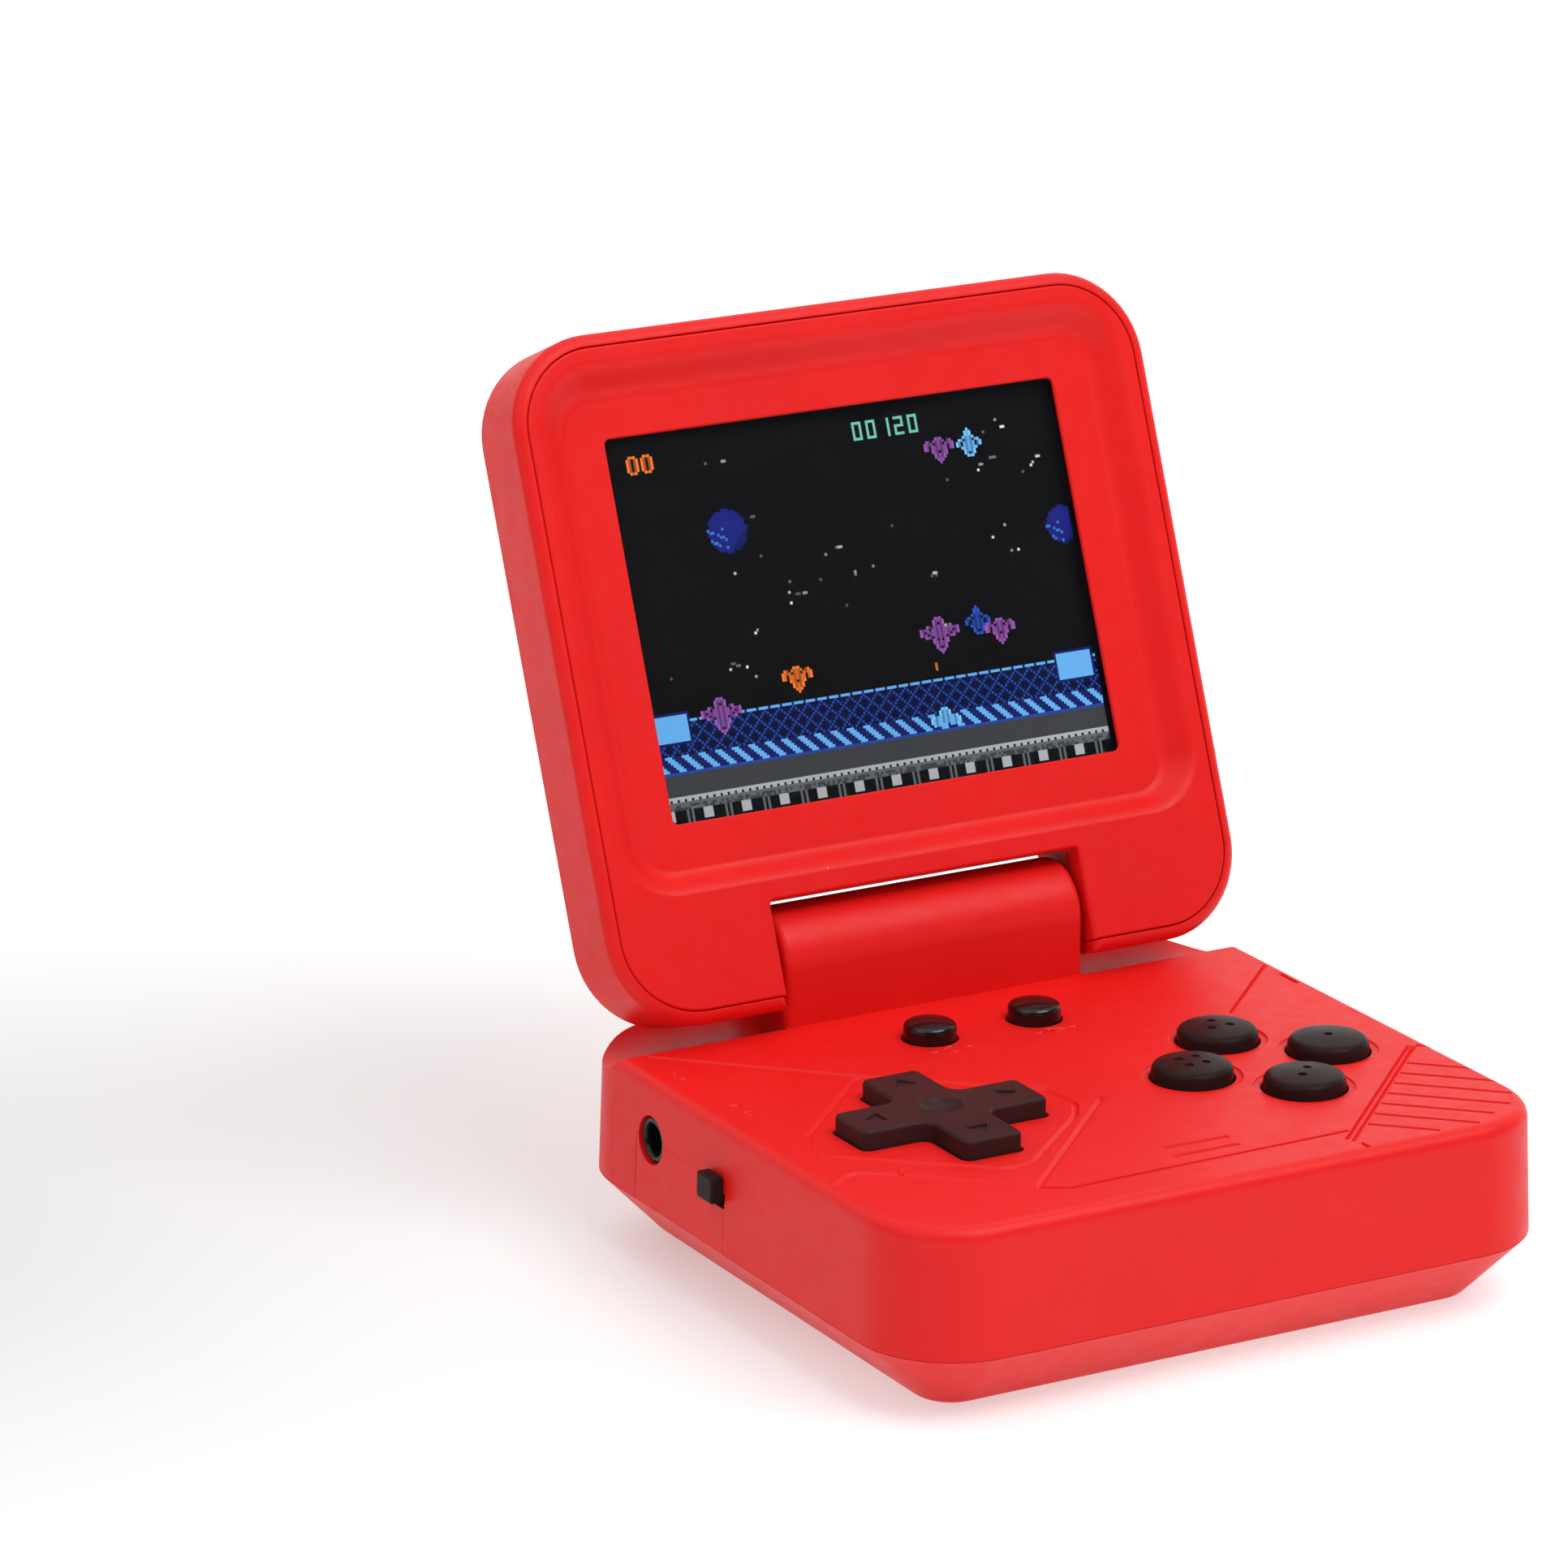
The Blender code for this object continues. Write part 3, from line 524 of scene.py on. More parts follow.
def outer_wall():
    """Levels of the casing's outside above the parting line, from the bottom up."""
    foot = [(-DRAFT, PARTING + SEAM), (-DRAFT + 0.02, PARTING + 0.5)]
    return foot + arc(CREASE, FACE - CREASE, CREASE, 180, 90)


def action_buttons():
    return {key: middle("button_" + key) for key in "abxy"}


def menu_buttons():
    return {name: middle(name) for name in ("button_reset", "button_start")}


# Grooves in the face plate, as (half width, depth, share of the width left at the groove's floor)
SHALLOW, STEEP, BROAD = (0.42, 0.32, 0.15), (0.29, 0.38, 0.45), (0.40, 0.38, 0.45)


def face_strokes():
    """The grooves moulded in the face plate, as (section, points)."""
    strokes = [
        (SHALLOW, [(-37.2, 26.0), (-20.1, 9.1), (-4.4, -4.7)]),
        (SHALLOW, [(-0.4, -9.6), (-21.1, -30.3)]),
        (SHALLOW, [(-39.2, -19.4), (-36.7, -17.5), (-35.2, -17.3), (-31.3, -20.0), (-20.5, -30.1)]),
        (STEEP, [(-30.4, -18.4), (-31.6, -20.1)]),
        (STEEP, [(-21.1, -30.3), (-17.9, -32.0), (16.8, -31.6)]),
        (BROAD, [(-3.3, -26.5), (4.7, -26.8)]),
        (BROAD, [(-3.6, -29.2), (4.5, -29.3)]),
        (STEEP, [(39.0, 19.2), (26.4, 6.8)]),
        (STEEP, [(38.6, 15.9), (38.6, 11.9)]),
        (STEEP, [(37.7, -11.9), (15.1, -33.9)]),
        (STEEP, [(38.1, -12.4), (15.4, -34.7)]),
        (STEEP, [(15.8, -35.2), (15.9, -36.9)]),
    ]
    # Slanting ribs fill the corner beyond the double line.
    for k, length in enumerate((2.7, 7.7, 11.5, 13.2, 13.7, 12.6, 11.7, 8.1)):
        start = Vector((38.3, -12.2)) if k == 0 else Vector((36.53 - 2.43 * k, -14.13 - 2.37 * k))
        strokes.append((STEEP, [start, start + length * Vector((0.72, -0.69))]))
    return strokes


def dpad_frame():
    """The moulded frame round the direction pad: a many-sided outline with softened corners."""
    corners = [
        (-20.2, 9.0, 1.0),
        (-34.2, -4.9, 3.0),
        (-36.2, -11.0, 2.0),
        (-34.6, -12.0, 1.5),
        (-20.5, -24.0, 3.0),
        (-17.3, -23.3, 2.0),
        (-6.2, -13.4, 4.0),
        (-4.0, -10.0, 2.5),
        (-4.7, -4.5, 2.5),
    ]
    return [tuple(p) for p in rounded(corners, 0, 5)]


def barrel():
    """The hinge barrel with soft ends: upright sides under a half round, narrower towards each end."""
    foot = FACE - 3.7 - HINGE_Z
    soft, end = 1.0, BARREL_END - 0.01
    left = [(-end + soft - c * soft, soft - s * soft) for c, s in arc(0, 0, 1.0, 0, 90, 5)]
    rings = []
    for x, inset in left + [(-x, inset) for x, inset in left[::-1]]:
        radius = BARREL_R - inset
        ring = [(x, radius, foot), (x, radius, 0)]
        for k in range(1, 40):
            angle = math.pi * k / 40
            ring.append((x, radius * math.cos(angle), radius * math.sin(angle)))
        ring += [(x, -radius, 0), (x, -radius, foot)]
        rings.append(ring)
    return loft(rings)


def top_shell():
    levels = outer_wall()[::-1] + [(WALL - DRAFT, PARTING + SEAM), (WALL, FACE - PLATE)]
    shell = solid("face_shell", stack(base_outline(), levels))
    inset = WALL / 2
    x, y, r = HALF_X - inset, HALF_Y - inset, CORNER - inset
    bed = [(-x, BED_FRONT, 0.3), (x, BED_FRONT, 0.3), (x, y, r), (-x, y, r)]
    join(shell, solid("bed", stack(bed, [(0, BED_FOOT), (0, FACE - 0.8)])))
    hinge = at(0, HINGE_Y, HINGE_Z)
    for side in (-1, 1):
        low, high = sorted((side * BARREL_END, side * BEYOND))
        cut(shell, solid("trough", turned([(TROUGH_R, low), (TROUGH_R, high)], 128, "X"), hinge))
    join(shell, solid("barrel", barrel(), hinge))
    cut(shell, solid("hollow", rod(CLUTCH_R, CLUTCH_END, 48), hinge))
    cut(shell, solid("bores", rod(PIN_R, 20.5), hinge))
    cut(shell, solid("wire_slot", block(-12, 12, HINGE_Y - 2.4, HINGE_Y + 2.4, 16, HINGE_Z)))
    control_openings(shell)
    engrave(shell)
    cut(shell, solid("tab_space", block(-BEYOND, INSIDE, TAB_FRONT, TAB_REAR, 5, JACK.z)))
    wall_openings(shell)
    dress(shell, "base", RED, "red_shell", "base_top_shell")


def control_openings(shell):
    """The controls' holes, with soft lips. A shallow ring surrounds each action button's."""
    hole, ring, sunk = 4.75, 5.5, -0.2
    lip = [(hole, -3), (hole, sunk - 0.08), (hole + 0.1, sunk), (ring - 0.08, sunk), (ring, sunk + 0.04)]
    lip += [(ring + 0.05, -0.05), (ring + 0.18, 0.02), (ring + 0.3, 1)]
    for spot in action_buttons().values():
        cut(shell, solid("hole", turned(lip), at(spot.x, spot.y, FACE)))
    hole = 3.14
    lip = [(hole, -3), (hole, -0.1), (hole + 0.1, 0.02), (hole + 0.26, 1)]
    for spot in menu_buttons().values():
        cut(shell, solid("hole", turned(lip, 48), at(spot.x, spot.y, FACE)))
    spot, gap = middle("dpad"), -0.26
    levels = [(gap, FACE - 3), (gap, FACE - 0.12), (gap - 0.04, FACE - 0.04)]
    levels += [(gap - 0.11, FACE + 0.02), (gap - 0.34, FACE + 1)]
    cut(shell, solid("well", stack(plus_outline(), levels, 6), at(spot.x, spot.y)))


def ring_path(x, y, radius, first, last, count=16):
    """Points (x, y) along an arc, its angles in degrees."""
    points = []
    for k in range(count + 1):
        angle = math.radians(first + (last - first) * k / count)
        points.append((x + radius * math.cos(angle), y + radius * math.sin(angle)))
    return points


def icons():
    """Plain symbols beside the controls, as (closed, points): turn, go, sound, on and off."""
    reset, start = Vector((-6.6, 11.6)), Vector((6.7, 11.6))
    marks = [(False, ring_path(*reset, 0.85, 60, 350))]
    marks.append((True, [start + Vector(p) for p in ((-0.7, -0.8), (0.9, 0.0), (-0.7, 0.8))]))
    for spot in (reset, start):
        for side in (-1, 1):
            near, far = side * 1.6, side * 2.7
            marks.append((False, [spot + Vector((min(near, far), 0)), spot + Vector((max(near, far), 0))]))
    marks.append((False, ring_path(-36.6, 18.6, 1.1, 90, 270)))
    marks.append((False, [(-36.9, 7.4), (-35.7, 7.4)]))
    marks.append((True, ring_path(-36.2, 4.4, 0.55, 0, 337.5, 15)))
    return marks


def engrave(shell):
    """Cuts the grooves and the plain symbols into the face plate."""
    parts = [channel(points, *section) for section, points in face_strokes()]
    parts.append(channel(dpad_frame(), *SHALLOW, closed=True))
    cut(shell, solid("strokes", merged(parts), at(0, 0, FACE)), overlap=True)
    parts = [channel(points, 0.22, 0.2, closed=closed) for closed, points in icons()]
    cut(shell, solid("icons", merged(parts), at(0, 0, FACE)), overlap=True)


def wall_openings(shell):
    """The jack's round hole and the switch's slot, each half in either shell."""
    hole = turned([(2.75, -BEYOND), (2.75, INSIDE)], 64, "X")
    cut(shell, solid("jack_hole", hole, at(0, JACK.y, JACK.z)))
    z = middle("power_switch_body").z
    slot = block(-BEYOND, INSIDE, SLOT_FRONT, SLOT_REAR, z - SLOT_HALF, z + SLOT_HALF)
    cut(shell, solid("slot", slot))


def tray():
    """The chamfered tray, with the tab that rises round the jack and the switch."""
    rim = PARTING - SEAM
    slope = math.degrees(math.atan2(rim, CHAMFER + DRAFT))
    soft = 2.2
    reach = soft * math.tan(math.radians(slope / 2))
    foot = arc(CHAMFER + reach, soft, soft, 270, 270 - slope, 6)
    inner = [(WALL - DRAFT, rim), (WALL + 0.4, rim - 0.2), (CHAMFER + 0.2, 2.0), (CHAMFER + 1.3, 1.8)]
    edge = [(-DRAFT + 0.1, rim - 0.13), (-DRAFT + 0.02, rim - 0.04), (-DRAFT + 0.05, rim)]
    shell = solid("bottom_tray", stack(base_outline(), foot + edge + inner))
    slant, below = (CHAMFER + DRAFT) / PARTING, 1.5
    whole = [(-DRAFT + below * slant, PARTING - below), (-DRAFT, PARTING), (0, FACE - CREASE)]
    tab = solid("tab", stack(base_outline(), whole))
    x0, x1 = -HALF_X - 3, -HALF_X + WALL - 0.4
    keep = block(x0, x1, TAB_FRONT + 0.05, TAB_REAR - 0.12, 5.2, JACK.z - 0.03)
    carve(tab, "INTERSECT", solid("keep", keep))
    join(shell, tab)
    return shell


def battery_bay(shell):
    """The walled bay for the cells, open below, with a ledge and a screw post for its cover."""
    (x0, y0, _), (x1, y1, top) = BAY_LOW, BAY_HIGH
    w = BAY_WALL
    join(shell, solid("bay", block(x0 - w, x1 + w, y0 - w, y1 + w, FLOOR_IN, top + w)))
    half, front, rear = DOOR_HIGH.x + DOOR_GAP, DOOR_LOW.y - DOOR_GAP, DOOR_HIGH.y + DOOR_GAP
    ledge = DOOR_HIGH.z + 0.3
    join(shell, solid("ledge", block(-half - w, half + w, front - w, rear + w, FLOOR_IN, ledge + 1.2)))
    post = at(0, middle("battery_door_screw").y)
    join(shell, solid("post", turned([(2.2, FLOOR_IN), (2.2, 6.5)], 32), post))
    cut(shell, solid("bay_space", block(x0, x1, y0, y1, -2, top)))
    levels = [(-0.3, -1), (-0.15, -0.01), (0, 0.15), (0, ledge)]
    cut(shell, solid("recess", stack(rectangle(-half, half, front, rear, 0.8), levels, 5)))
    cut(shell, solid("screw_hole", turned([(1.4, 0.5), (1.4, 5.5)], 24), post))


def case_posts(shell):
    """Four posts, each with a well for its screw's head."""
    well = [(3.1, -1), (2.75, -0.02), (2.6, 0.12), (2.6, 2.4), (1.4, 2.4), (1.4, 14)]
    for number in (1, 2, 3, 4):
        spot = middle(f"case_screw_{number}")
        join(shell, solid("post", turned([(3.2, FLOOR_IN), (3.2, 12.3)], 32), at(spot.x, spot.y)))
        cut(shell, solid("well", turned(well, 40), at(spot.x, spot.y)))


def speaker_holes(shell):
    """Six sound holes in a ring, and one in the middle."""
    spot = middle("speaker")
    sides = [(1.1, -1), (0.85, -0.02), (0.75, 0.12), (0.75, 4)]
    for k in range(7):
        angle, reach = math.pi / 3 * k, 3.4 if k < 6 else 0
        place = at(spot.x + reach * math.cos(angle), spot.y + reach * math.sin(angle))
        cut(shell, solid("hole", turned(sides, 24), place))


def bottom_shell():
    shell = tray()
    battery_bay(shell)
    case_posts(shell)
    speaker_holes(shell)
    wall_openings(shell)
    dress(shell, "base", RED, "red_shell", "base_bottom_shell")


def battery_door():
    x, y0, y1, top = DOOR_HIGH.x, DOOR_LOW.y, DOOR_HIGH.y, DOOR_HIGH.z
    levels = arc(0.2, 0.2, 0.2, 270, 180, 3) + [(0, top)]
    door = solid("battery_cover", stack(rectangle(-x, x, y0, y1, 0.7), levels, 5))
    spot = middle("battery_door_screw")
    hole = turned([(2.1, -1), (1.9, -0.02), (1.8, 0.1), (1.8, 0.9), (1.35, 1.15), (1.35, 3)], 40)
    cut(door, solid("hole", hole, at(spot.x, spot.y)))
    for k in range(5):
        half, y = 7 - 0.5 * k, y0 + 2.6 + 1.3 * k
        turn = at(0, y) @ Matrix.Rotation(math.pi, 4, "X")
        cut(door, solid("grip", channel([(-half, 0), (half, 0)], 0.32, 0.35), turn))
    dress(door, "battery_cover", RED, "red_shell", "battery_door")


# Controls


def plus_outline():
    """The direction pad's outline, counterclockwise from the foot of the front arm."""
    reach, arm = 11.3, 3.5
    quarter = [(-arm, -reach, 0.8), (arm, -reach, 0.8), (arm, -arm, 1.6)]
    corners = []
    for c, s in [(1, 0), (0, 1), (-1, 0), (0, -1)]:
        corners += [(x * c - y * s, x * s + y * c, r) for x, y, r in quarter]
    return corners


def marks(key):
    """The engraved dots that tell the action buttons apart, one to four of them."""
    count = "abxy".index(key) + 1
    if count == 1:
        return [(0, 0)]
    reach = 0.85 + 0.17 * count
    first = math.pi / 2 if count == 3 else math.pi / 4
    angles = [first + 2 * math.pi * k / count for k in range(count)]
    return [(reach * math.cos(a), reach * math.sin(a)) for a in angles]


def skirted(node):
    """A round cap's hidden end with the flange that holds it, and the cap's radius, top and foot."""
    low, high = size_of(node)
    overhang, thick = 1.0, 0.9
    radius = (high.x - low.x) / 2 - overhang
    flange = FACE - PLATE - 0.3
    profile = [(radius - 1.2, flange - thick - 0.5), (radius - 1.2, flange - thick)]
    profile += [(radius + overhang, flange - thick), (radius + overhang, flange)]
    return profile, radius, high.z, flange


def action_caps():
    for key, spot in action_buttons().items():
        profile, radius, top, flange = skirted("button_" + key)
        profile += domed(radius, top, flange, 0.85, 9, 0.15)
        cap = solid("cap_" + key, turned(profile), at(spot.x, spot.y))
        for x, y in marks(key):
            sink = 0.14 if x or y else 0.05
            dot = turned([(0.32, top - 0.4), (0.46, top - sink - 0.1), (0.56, top + 0.3)], 24)
            cut(cap, solid("dot", dot, at(spot.x + x, spot.y + y)))
        dress(cap, "button_" + key, BLACK, "black_controls", "button_" + key)


def menu_caps():
    for name, spot in menu_buttons().items():
        profile, radius, top, flange = skirted(name)
        profile += domed(radius, top, flange, 0.6, 15, 0.04)
        cap = solid("cap_" + name.split("_")[1], turned(profile), at(spot.x, spot.y))
        dress(cap, name, GLOSSY, "gloss_controls", name)


def direction_pad():
    spot = middle("dpad")
    low, high = size_of("dpad")
    top, edge = high.z, 0.42
    levels = [(0, low.z + 0.3)] + arc(edge, top - edge, edge, 180, 90, 6)
    pad = solid("direction_pad", stack(plus_outline(), levels, 6), at(spot.x, spot.y))
    flange_r = (high.x - low.x) / 2
    flange = turned([(flange_r, low.z), (flange_r, low.z + 0.8)])
    join(pad, solid("flange", flange, at(spot.x, spot.y)))
    wide, deep, rise = 2.55, 0.9, 1.36
    bowl = [(0.1, -deep)]
    for degrees in range(8, 70, 6):
        angle = math.radians(degrees)
        bowl.append((wide * math.sin(angle), -deep + rise * (1 - math.cos(angle))))
    bowl += [(wide - 0.1, -0.06), (wide + 0.01, 0.01), (wide + 0.25, 0.4)]
    cut(pad, solid("dimple", turned(bowl, 64), at(spot.x, spot.y, top)))
    tip, foot, half = 9.5, 7.2, 1.4
    corners = [(-half, foot, 0.15), (half, foot, 0.15), (0, tip, 0.15)]
    for turn in range(4):
        arrow = stack(corners, [(0.12, -0.3), (0.08, -0.27), (0, 0.01), (0, 0.4)], 4)
        place = at(spot.x, spot.y, top) @ Matrix.Rotation(math.pi / 2 * turn, 4, "Z")
        cut(pad, solid("arrow", arrow, place))
    dress(pad, "dpad", PAINTED_BOUNCE_PAD, "black_controls", "dpad")


def jack():
    """The headphone socket: a square body inside, and a round nose with its bore in the wall."""
    low, high = size_of("audio_jack")
    x0, x1 = low.x, -38.2
    outer, bore_r = 2.5, 1.8
    place = at(0, JACK.y, JACK.z)
    socket = solid("jack_socket", soft_block(x1, high.x, low.y, high.y, low.z, high.z, 0.3, 0.3))
    nose = [(outer - 0.3, x0), (outer - 0.1, x0 + 0.06), (outer, x0 + 0.2), (outer, x1 + 2)]
    join(socket, solid("nose", turned(nose, 64, "X"), place))
    bore = [(bore_r + 0.25, x0 - 1), (bore_r + 0.2, x0 - 0.01), (bore_r + 0.05, x0 + 0.22)]
    bore += [(bore_r, x0 + 0.4), (bore_r, -28)]
    cut(socket, solid("bore", turned(bore, 64, "X"), place))
    dress(socket, "base", SOCKET, "gloss_controls", "audio_jack")


def power_knob():
    """The slider's cap outside the wall, on a stem that passes through the slot."""
    low, high = size_of("power_switch_knob")
    skin, tall, stem_z = -40.8, 3.0, middle("power_switch_body").z
    # The cap is drawn with its height along x and its width along y, then turned to stand on the wall.
    turn = Matrix(((0, 0, 1, 0), (0, -1, 0, 0), (1, 0, 0, 0), (0, 0, 0, 1)))
    outline = rectangle(high.z - tall, high.z, -high.y, -low.y, 0.3)
    levels = arc(0.28, low.x + 0.28, 0.28, 270, 180, 4) + [(0, skin)]
    knob = solid("power_slider", stack(outline, levels, 5), turn)
    knob.data.transform(turn)
    knob.matrix_world = Matrix.Identity(4)
    stem = block(skin - 0.15, high.x, SWITCH.y - 0.8, SWITCH.y + 0.8, stem_z - 0.5, stem_z + 0.5)
    join(knob, solid("stem", stem))
    dress(knob, "power_knob", BLACK, "black_controls", "power_switch_knob")


# Lid


def lid_outline():
    """The lid's outline with the notch for the hinge barrel, counterclockwise from the left ear."""
    x, low, high, r = LID_HIGH.x, LID_LOW.y, LID_HIGH.y, LID_CORNER
    left = [(-x, low, r), (-NOTCH_X, low, 0.35), (-NOTCH_X, NOTCH_TOP, 0.5)]
    right = [(NOTCH_X, NOTCH_TOP, 0.5), (NOTCH_X, low, 0.35), (x, low, r)]
    return left + right + [(x, high, r), (-x, high, r)]


def lid_rectangle():
    return rectangle(-LID_HIGH.x, LID_HIGH.x, LID_LOW.y, LID_HIGH.y, LID_CORNER)


def lid_back():
    """The lid's outer half, hollow from the front, with walls beside and above its notch."""
    back, face, taper = LID_LOW.z, LID_HIGH.z, 0.35
    edge, bulge, lift = 0.9, 1.5, 160
    levels = arc(taper + edge, back + edge, edge, 270, 180, 6)
    levels += arc(bulge * math.cos(math.radians(180 - lift)) + 0.01, face - bulge, bulge, lift, 90, 8)
    levels += [(RIM + 0.3, face)]
    shell = solid("lid_cover", stack(lid_outline(), levels), LID)
    levels = [(RIM, back + LID_WALL), (RIM, face - 0.12), (RIM - 0.12, face + 0.02), (RIM - 0.3, face + 2)]
    cut(shell, solid("pocket", stack(lid_rectangle(), levels), LID))
    top, z0, z1 = NOTCH_TOP + LID_WALL, back + 1.0, LENS_FACE
    for side in (-1, 1):
        x0, x1 = sorted((side * NOTCH_X, side * (NOTCH_X + LID_WALL)))
        join(shell, solid("cheek", block(x0, x1, LID_LOW.y + 0.8, top, z0, z1), LID))
    half = NOTCH_X + 0.5
    join(shell, solid("ledge", block(-half, half, NOTCH_TOP, top, z0, z1), LID))
    cut(shell, solid("bores", rod(PIN_R, 23), LID))
    dress(shell, "lid", RED, "red_shell", "lid_back_shell")


def ramp(t, soft=0.3):
    """Rises from 0 to 1 as t does, with rounded ends."""
    if t < soft:
        return max(t + soft, 0) ** 2 / (4 * soft)
    if t > 1 - soft:
        return 1 - max(1 + soft - t, 0) ** 2 / (4 * soft)
    return t


def dish():
    """The cutter for the sloping surround of the screen, from the bezel's face down to its floor."""
    outer, inner = rounded(rectangle(*DISH_OUTER), 0, 16), rounded(rectangle(*DISH_INNER), 0, 16)
    soft, count, skim = 0.3, 14, 0.004
    rings = [[(*p.lerp(q, -soft - 0.2), LID_HIGH.z + 3) for p, q in zip(outer, inner)]]
    for k in range(count + 1):
        t = -soft + (1 + 2 * soft) * k / count
        height = LID_HIGH.z + skim - (DISH_DEPTH + skim) * ramp(t, soft)
        rings.append([(*p.lerp(q, t), height) for p, q in zip(outer, inner)])
    return loft(rings)


def lid_front():
    """The screen's surround: a plate with the notch, the dish and the window cut in it."""
    face, back, floor = LID_HIGH.z, LENS_FACE + 0.3, DISH_FLOOR
    inset = RIM + 0.09
    levels = [(inset, back)] + arc(inset + 0.3, face - 0.3, 0.3, 180, 90, 5)
    bezel = solid("screen_surround", stack(lid_rectangle(), levels), LID)
    x, foot = NOTCH_X, LID_LOW.y - 9
    notch = [(-x, foot, 0.3), (x, foot, 0.3), (x, NOTCH_TOP, 0.5), (-x, NOTCH_TOP, 0.5)]
    lip = [(0.0, back - 5), (0.0, face - 0.6), (-0.06, face - 0.32), (-0.22, face - 0.1)]
    lip += [(-0.5, face + 0.02), (-0.9, face + 2)]
    cut(bezel, solid("notch", stack(notch, lip, 6), LID))
    cut(bezel, solid("dish", dish(), LID))
    x, half = SCREEN_X / 2, SCREEN_Y / 2
    window = rectangle(-x, x, SCREEN_MID - half, SCREEN_MID + half, 0.7)
    sides = [(0, 0), (0, floor - 0.22), (-0.06, floor - 0.08), (-0.2, floor + 0.02), (-0.4, floor + 3)]
    cut(bezel, solid("window", stack(window, sides, 6), LID))
    dress(bezel, "lid", RED, "red_shell", "lid_bezel")


def lens():
    low, high = size_of("screen_lens", LID.inverted())
    outline, edge = rectangle(low.x, high.x, low.y, high.y, 1.2), 0.12
    levels = arc(edge, low.z + edge, edge, 270, 180, 3) + arc(edge, high.z - edge, edge, 180, 90, 3)
    piece = solid("screen_window", stack(outline, levels, 6), LID)
    dress(piece, "lid", lens_material(), "screen_glass", "screen_lens")


# The picture on the screen, a made-up space scene on a grid of cells

COLUMNS, ROWS = 192, 144
SKY = (0.0022, 0.0024, 0.0028)
TEAL, VIOLET, AMBER = (0.18, 0.62, 0.50), (0.23, 0.07, 0.31), (0.72, 0.15, 0.02)
BLUE, PALE_BLUE, NAVY = (0.02, 0.06, 0.36), (0.14, 0.44, 0.86), (0.008, 0.014, 0.12)
OCEAN, HAZE, DUSK = (0.012, 0.018, 0.22), (0.05, 0.20, 0.60), (0.002, 0.005, 0.03)
GREY, LIGHT_GREY, SLATE = (0.12, 0.13, 0.14), (0.42, 0.44, 0.46), (0.050, 0.052, 0.056)
SHADE, TAR = (0.004, 0.004, 0.005), (0.01, 0.01, 0.01)

# The made-up craft, from nose to tail: how far each row reaches from the middle, and which cells are gaps
RAIDER = [(1, -1), (2, -1), (2, 0), (5, 3), (8, 4), (8, 6), (8, 5)]
RAIDER += [(6, 3), (3, 1), (3, -1), (2, -1), (2, 0), (1, -1), (0, -1)]
SCOUT = [(1, -1), (5, 3), (6, 2), (6, 4), (6, 4), (3, 0), (2, -1), (2, -1), (1, -1), (0, -1)]
FIGHTER = [(0, -1), (1, -1), (1, -1), (2, -1), (4, 2), (5, 3), (5, 3), (3, -1), (2, -1), (2, 0), (1, -1)]
PLAYER = [(1, -1), (2, -1), (2, 0), (5, -1), (6, 3), (6, -1), (5, 1)]
LIFE = [(1, -1), (2, 0), (2, 0), (2, 0), (2, 0), (2, 0), (1, -1)]
CRAFT = [
    (127, 60, VIOLET, RAIDER),
    (30, 43, VIOLET, RAIDER),
    (153, 56, VIOLET, SCOUT),
    (141, 127, VIOLET, SCOUT),
    (64, 50, AMBER, SCOUT),
    (144, 62, BLUE, FIGHTER),
    (154, 129, PALE_BLUE, FIGHTER),
    (123, 26, PALE_BLUE, PLAYER),
    (12, 136, AMBER, LIFE),
    (18, 136, AMBER, LIFE),
]


def wobble(*seeds):
    """A repeatable number from 0 to 1 for any whole numbers."""
    value = 17
    for seed in seeds:
        value = (value * 1103515245 + seed * 12345 + 6789) % 2147483648
        value ^= value >> 11
    return (value % 10007) / 10007


def digit_cells(figure):
    """The lit cells of a seven-segment figure, four cells wide and seven tall."""
    lit = {0: "abcdef", 1: "bc", 2: "abged"}[figure]
    upright = {"e": (0, 0), "f": (0, 3), "c": (3, 0), "b": (3, 3)}
    level = {"d": 0, "g": 3, "a": 6}
    cells = {(x, y + n) for bar, (x, y) in upright.items() if bar in lit for n in range(4)}
    return cells | {(n, y) for bar, y in level.items() if bar in lit for n in range(4)}


def paint_stars(cells):
    """Loose groups of one to four stars, some bright and some dim."""
    for k in range(26):
        x0 = 4 + int(wobble(k, 1) * (COLUMNS - 16))
        y0 = 48 + int(wobble(k, 2) * 84)
        for n in range(1 + int(3.9 * wobble(k, 4) ** 2)):
            x = x0 + int(9 * wobble(k, n, 5)) * (n > 0)
            y = y0 + int(5 * wobble(k, n, 6)) * (n > 0)
            shade = 0.12 + 0.85 * wobble(k, n, 3) ** 2
            cells[x, y] = (shade, shade, shade)
            if n > 1:
                cells[x + 1, y] = (shade, shade, shade)


def paint_planet(cells, x, y, radius):
    for i in range(-radius, radius + 1):
        for j in range(-radius, radius + 1):
            if i * i + j * j > radius * radius + 2 or x + i >= COLUMNS:
                continue
            banded = (i + 2 * j) % 7 < 2 and wobble(i + 50, j + 50) > 0.35
            cells[x + i, y + j] = HAZE if banded and i < 0 and j < 2 else OCEAN
            if i - j > radius * 0.9:
                cells[x + i, y + j] = NAVY


def paint_ship(cells, x, y, colour, rows):
    """A symmetrical craft with a bright outline, its top row at y."""
    for j, (reach, gap) in enumerate(rows):
        for i in range(-reach, reach + 1):
            if abs(i) == gap:
                continue
            bright = 1.5 if abs(i) == reach else (0.55 if abs(i) % 3 == 1 else 1.0)
            cells[x + i, y - j] = tuple(min(c * bright, 1) for c in colour)


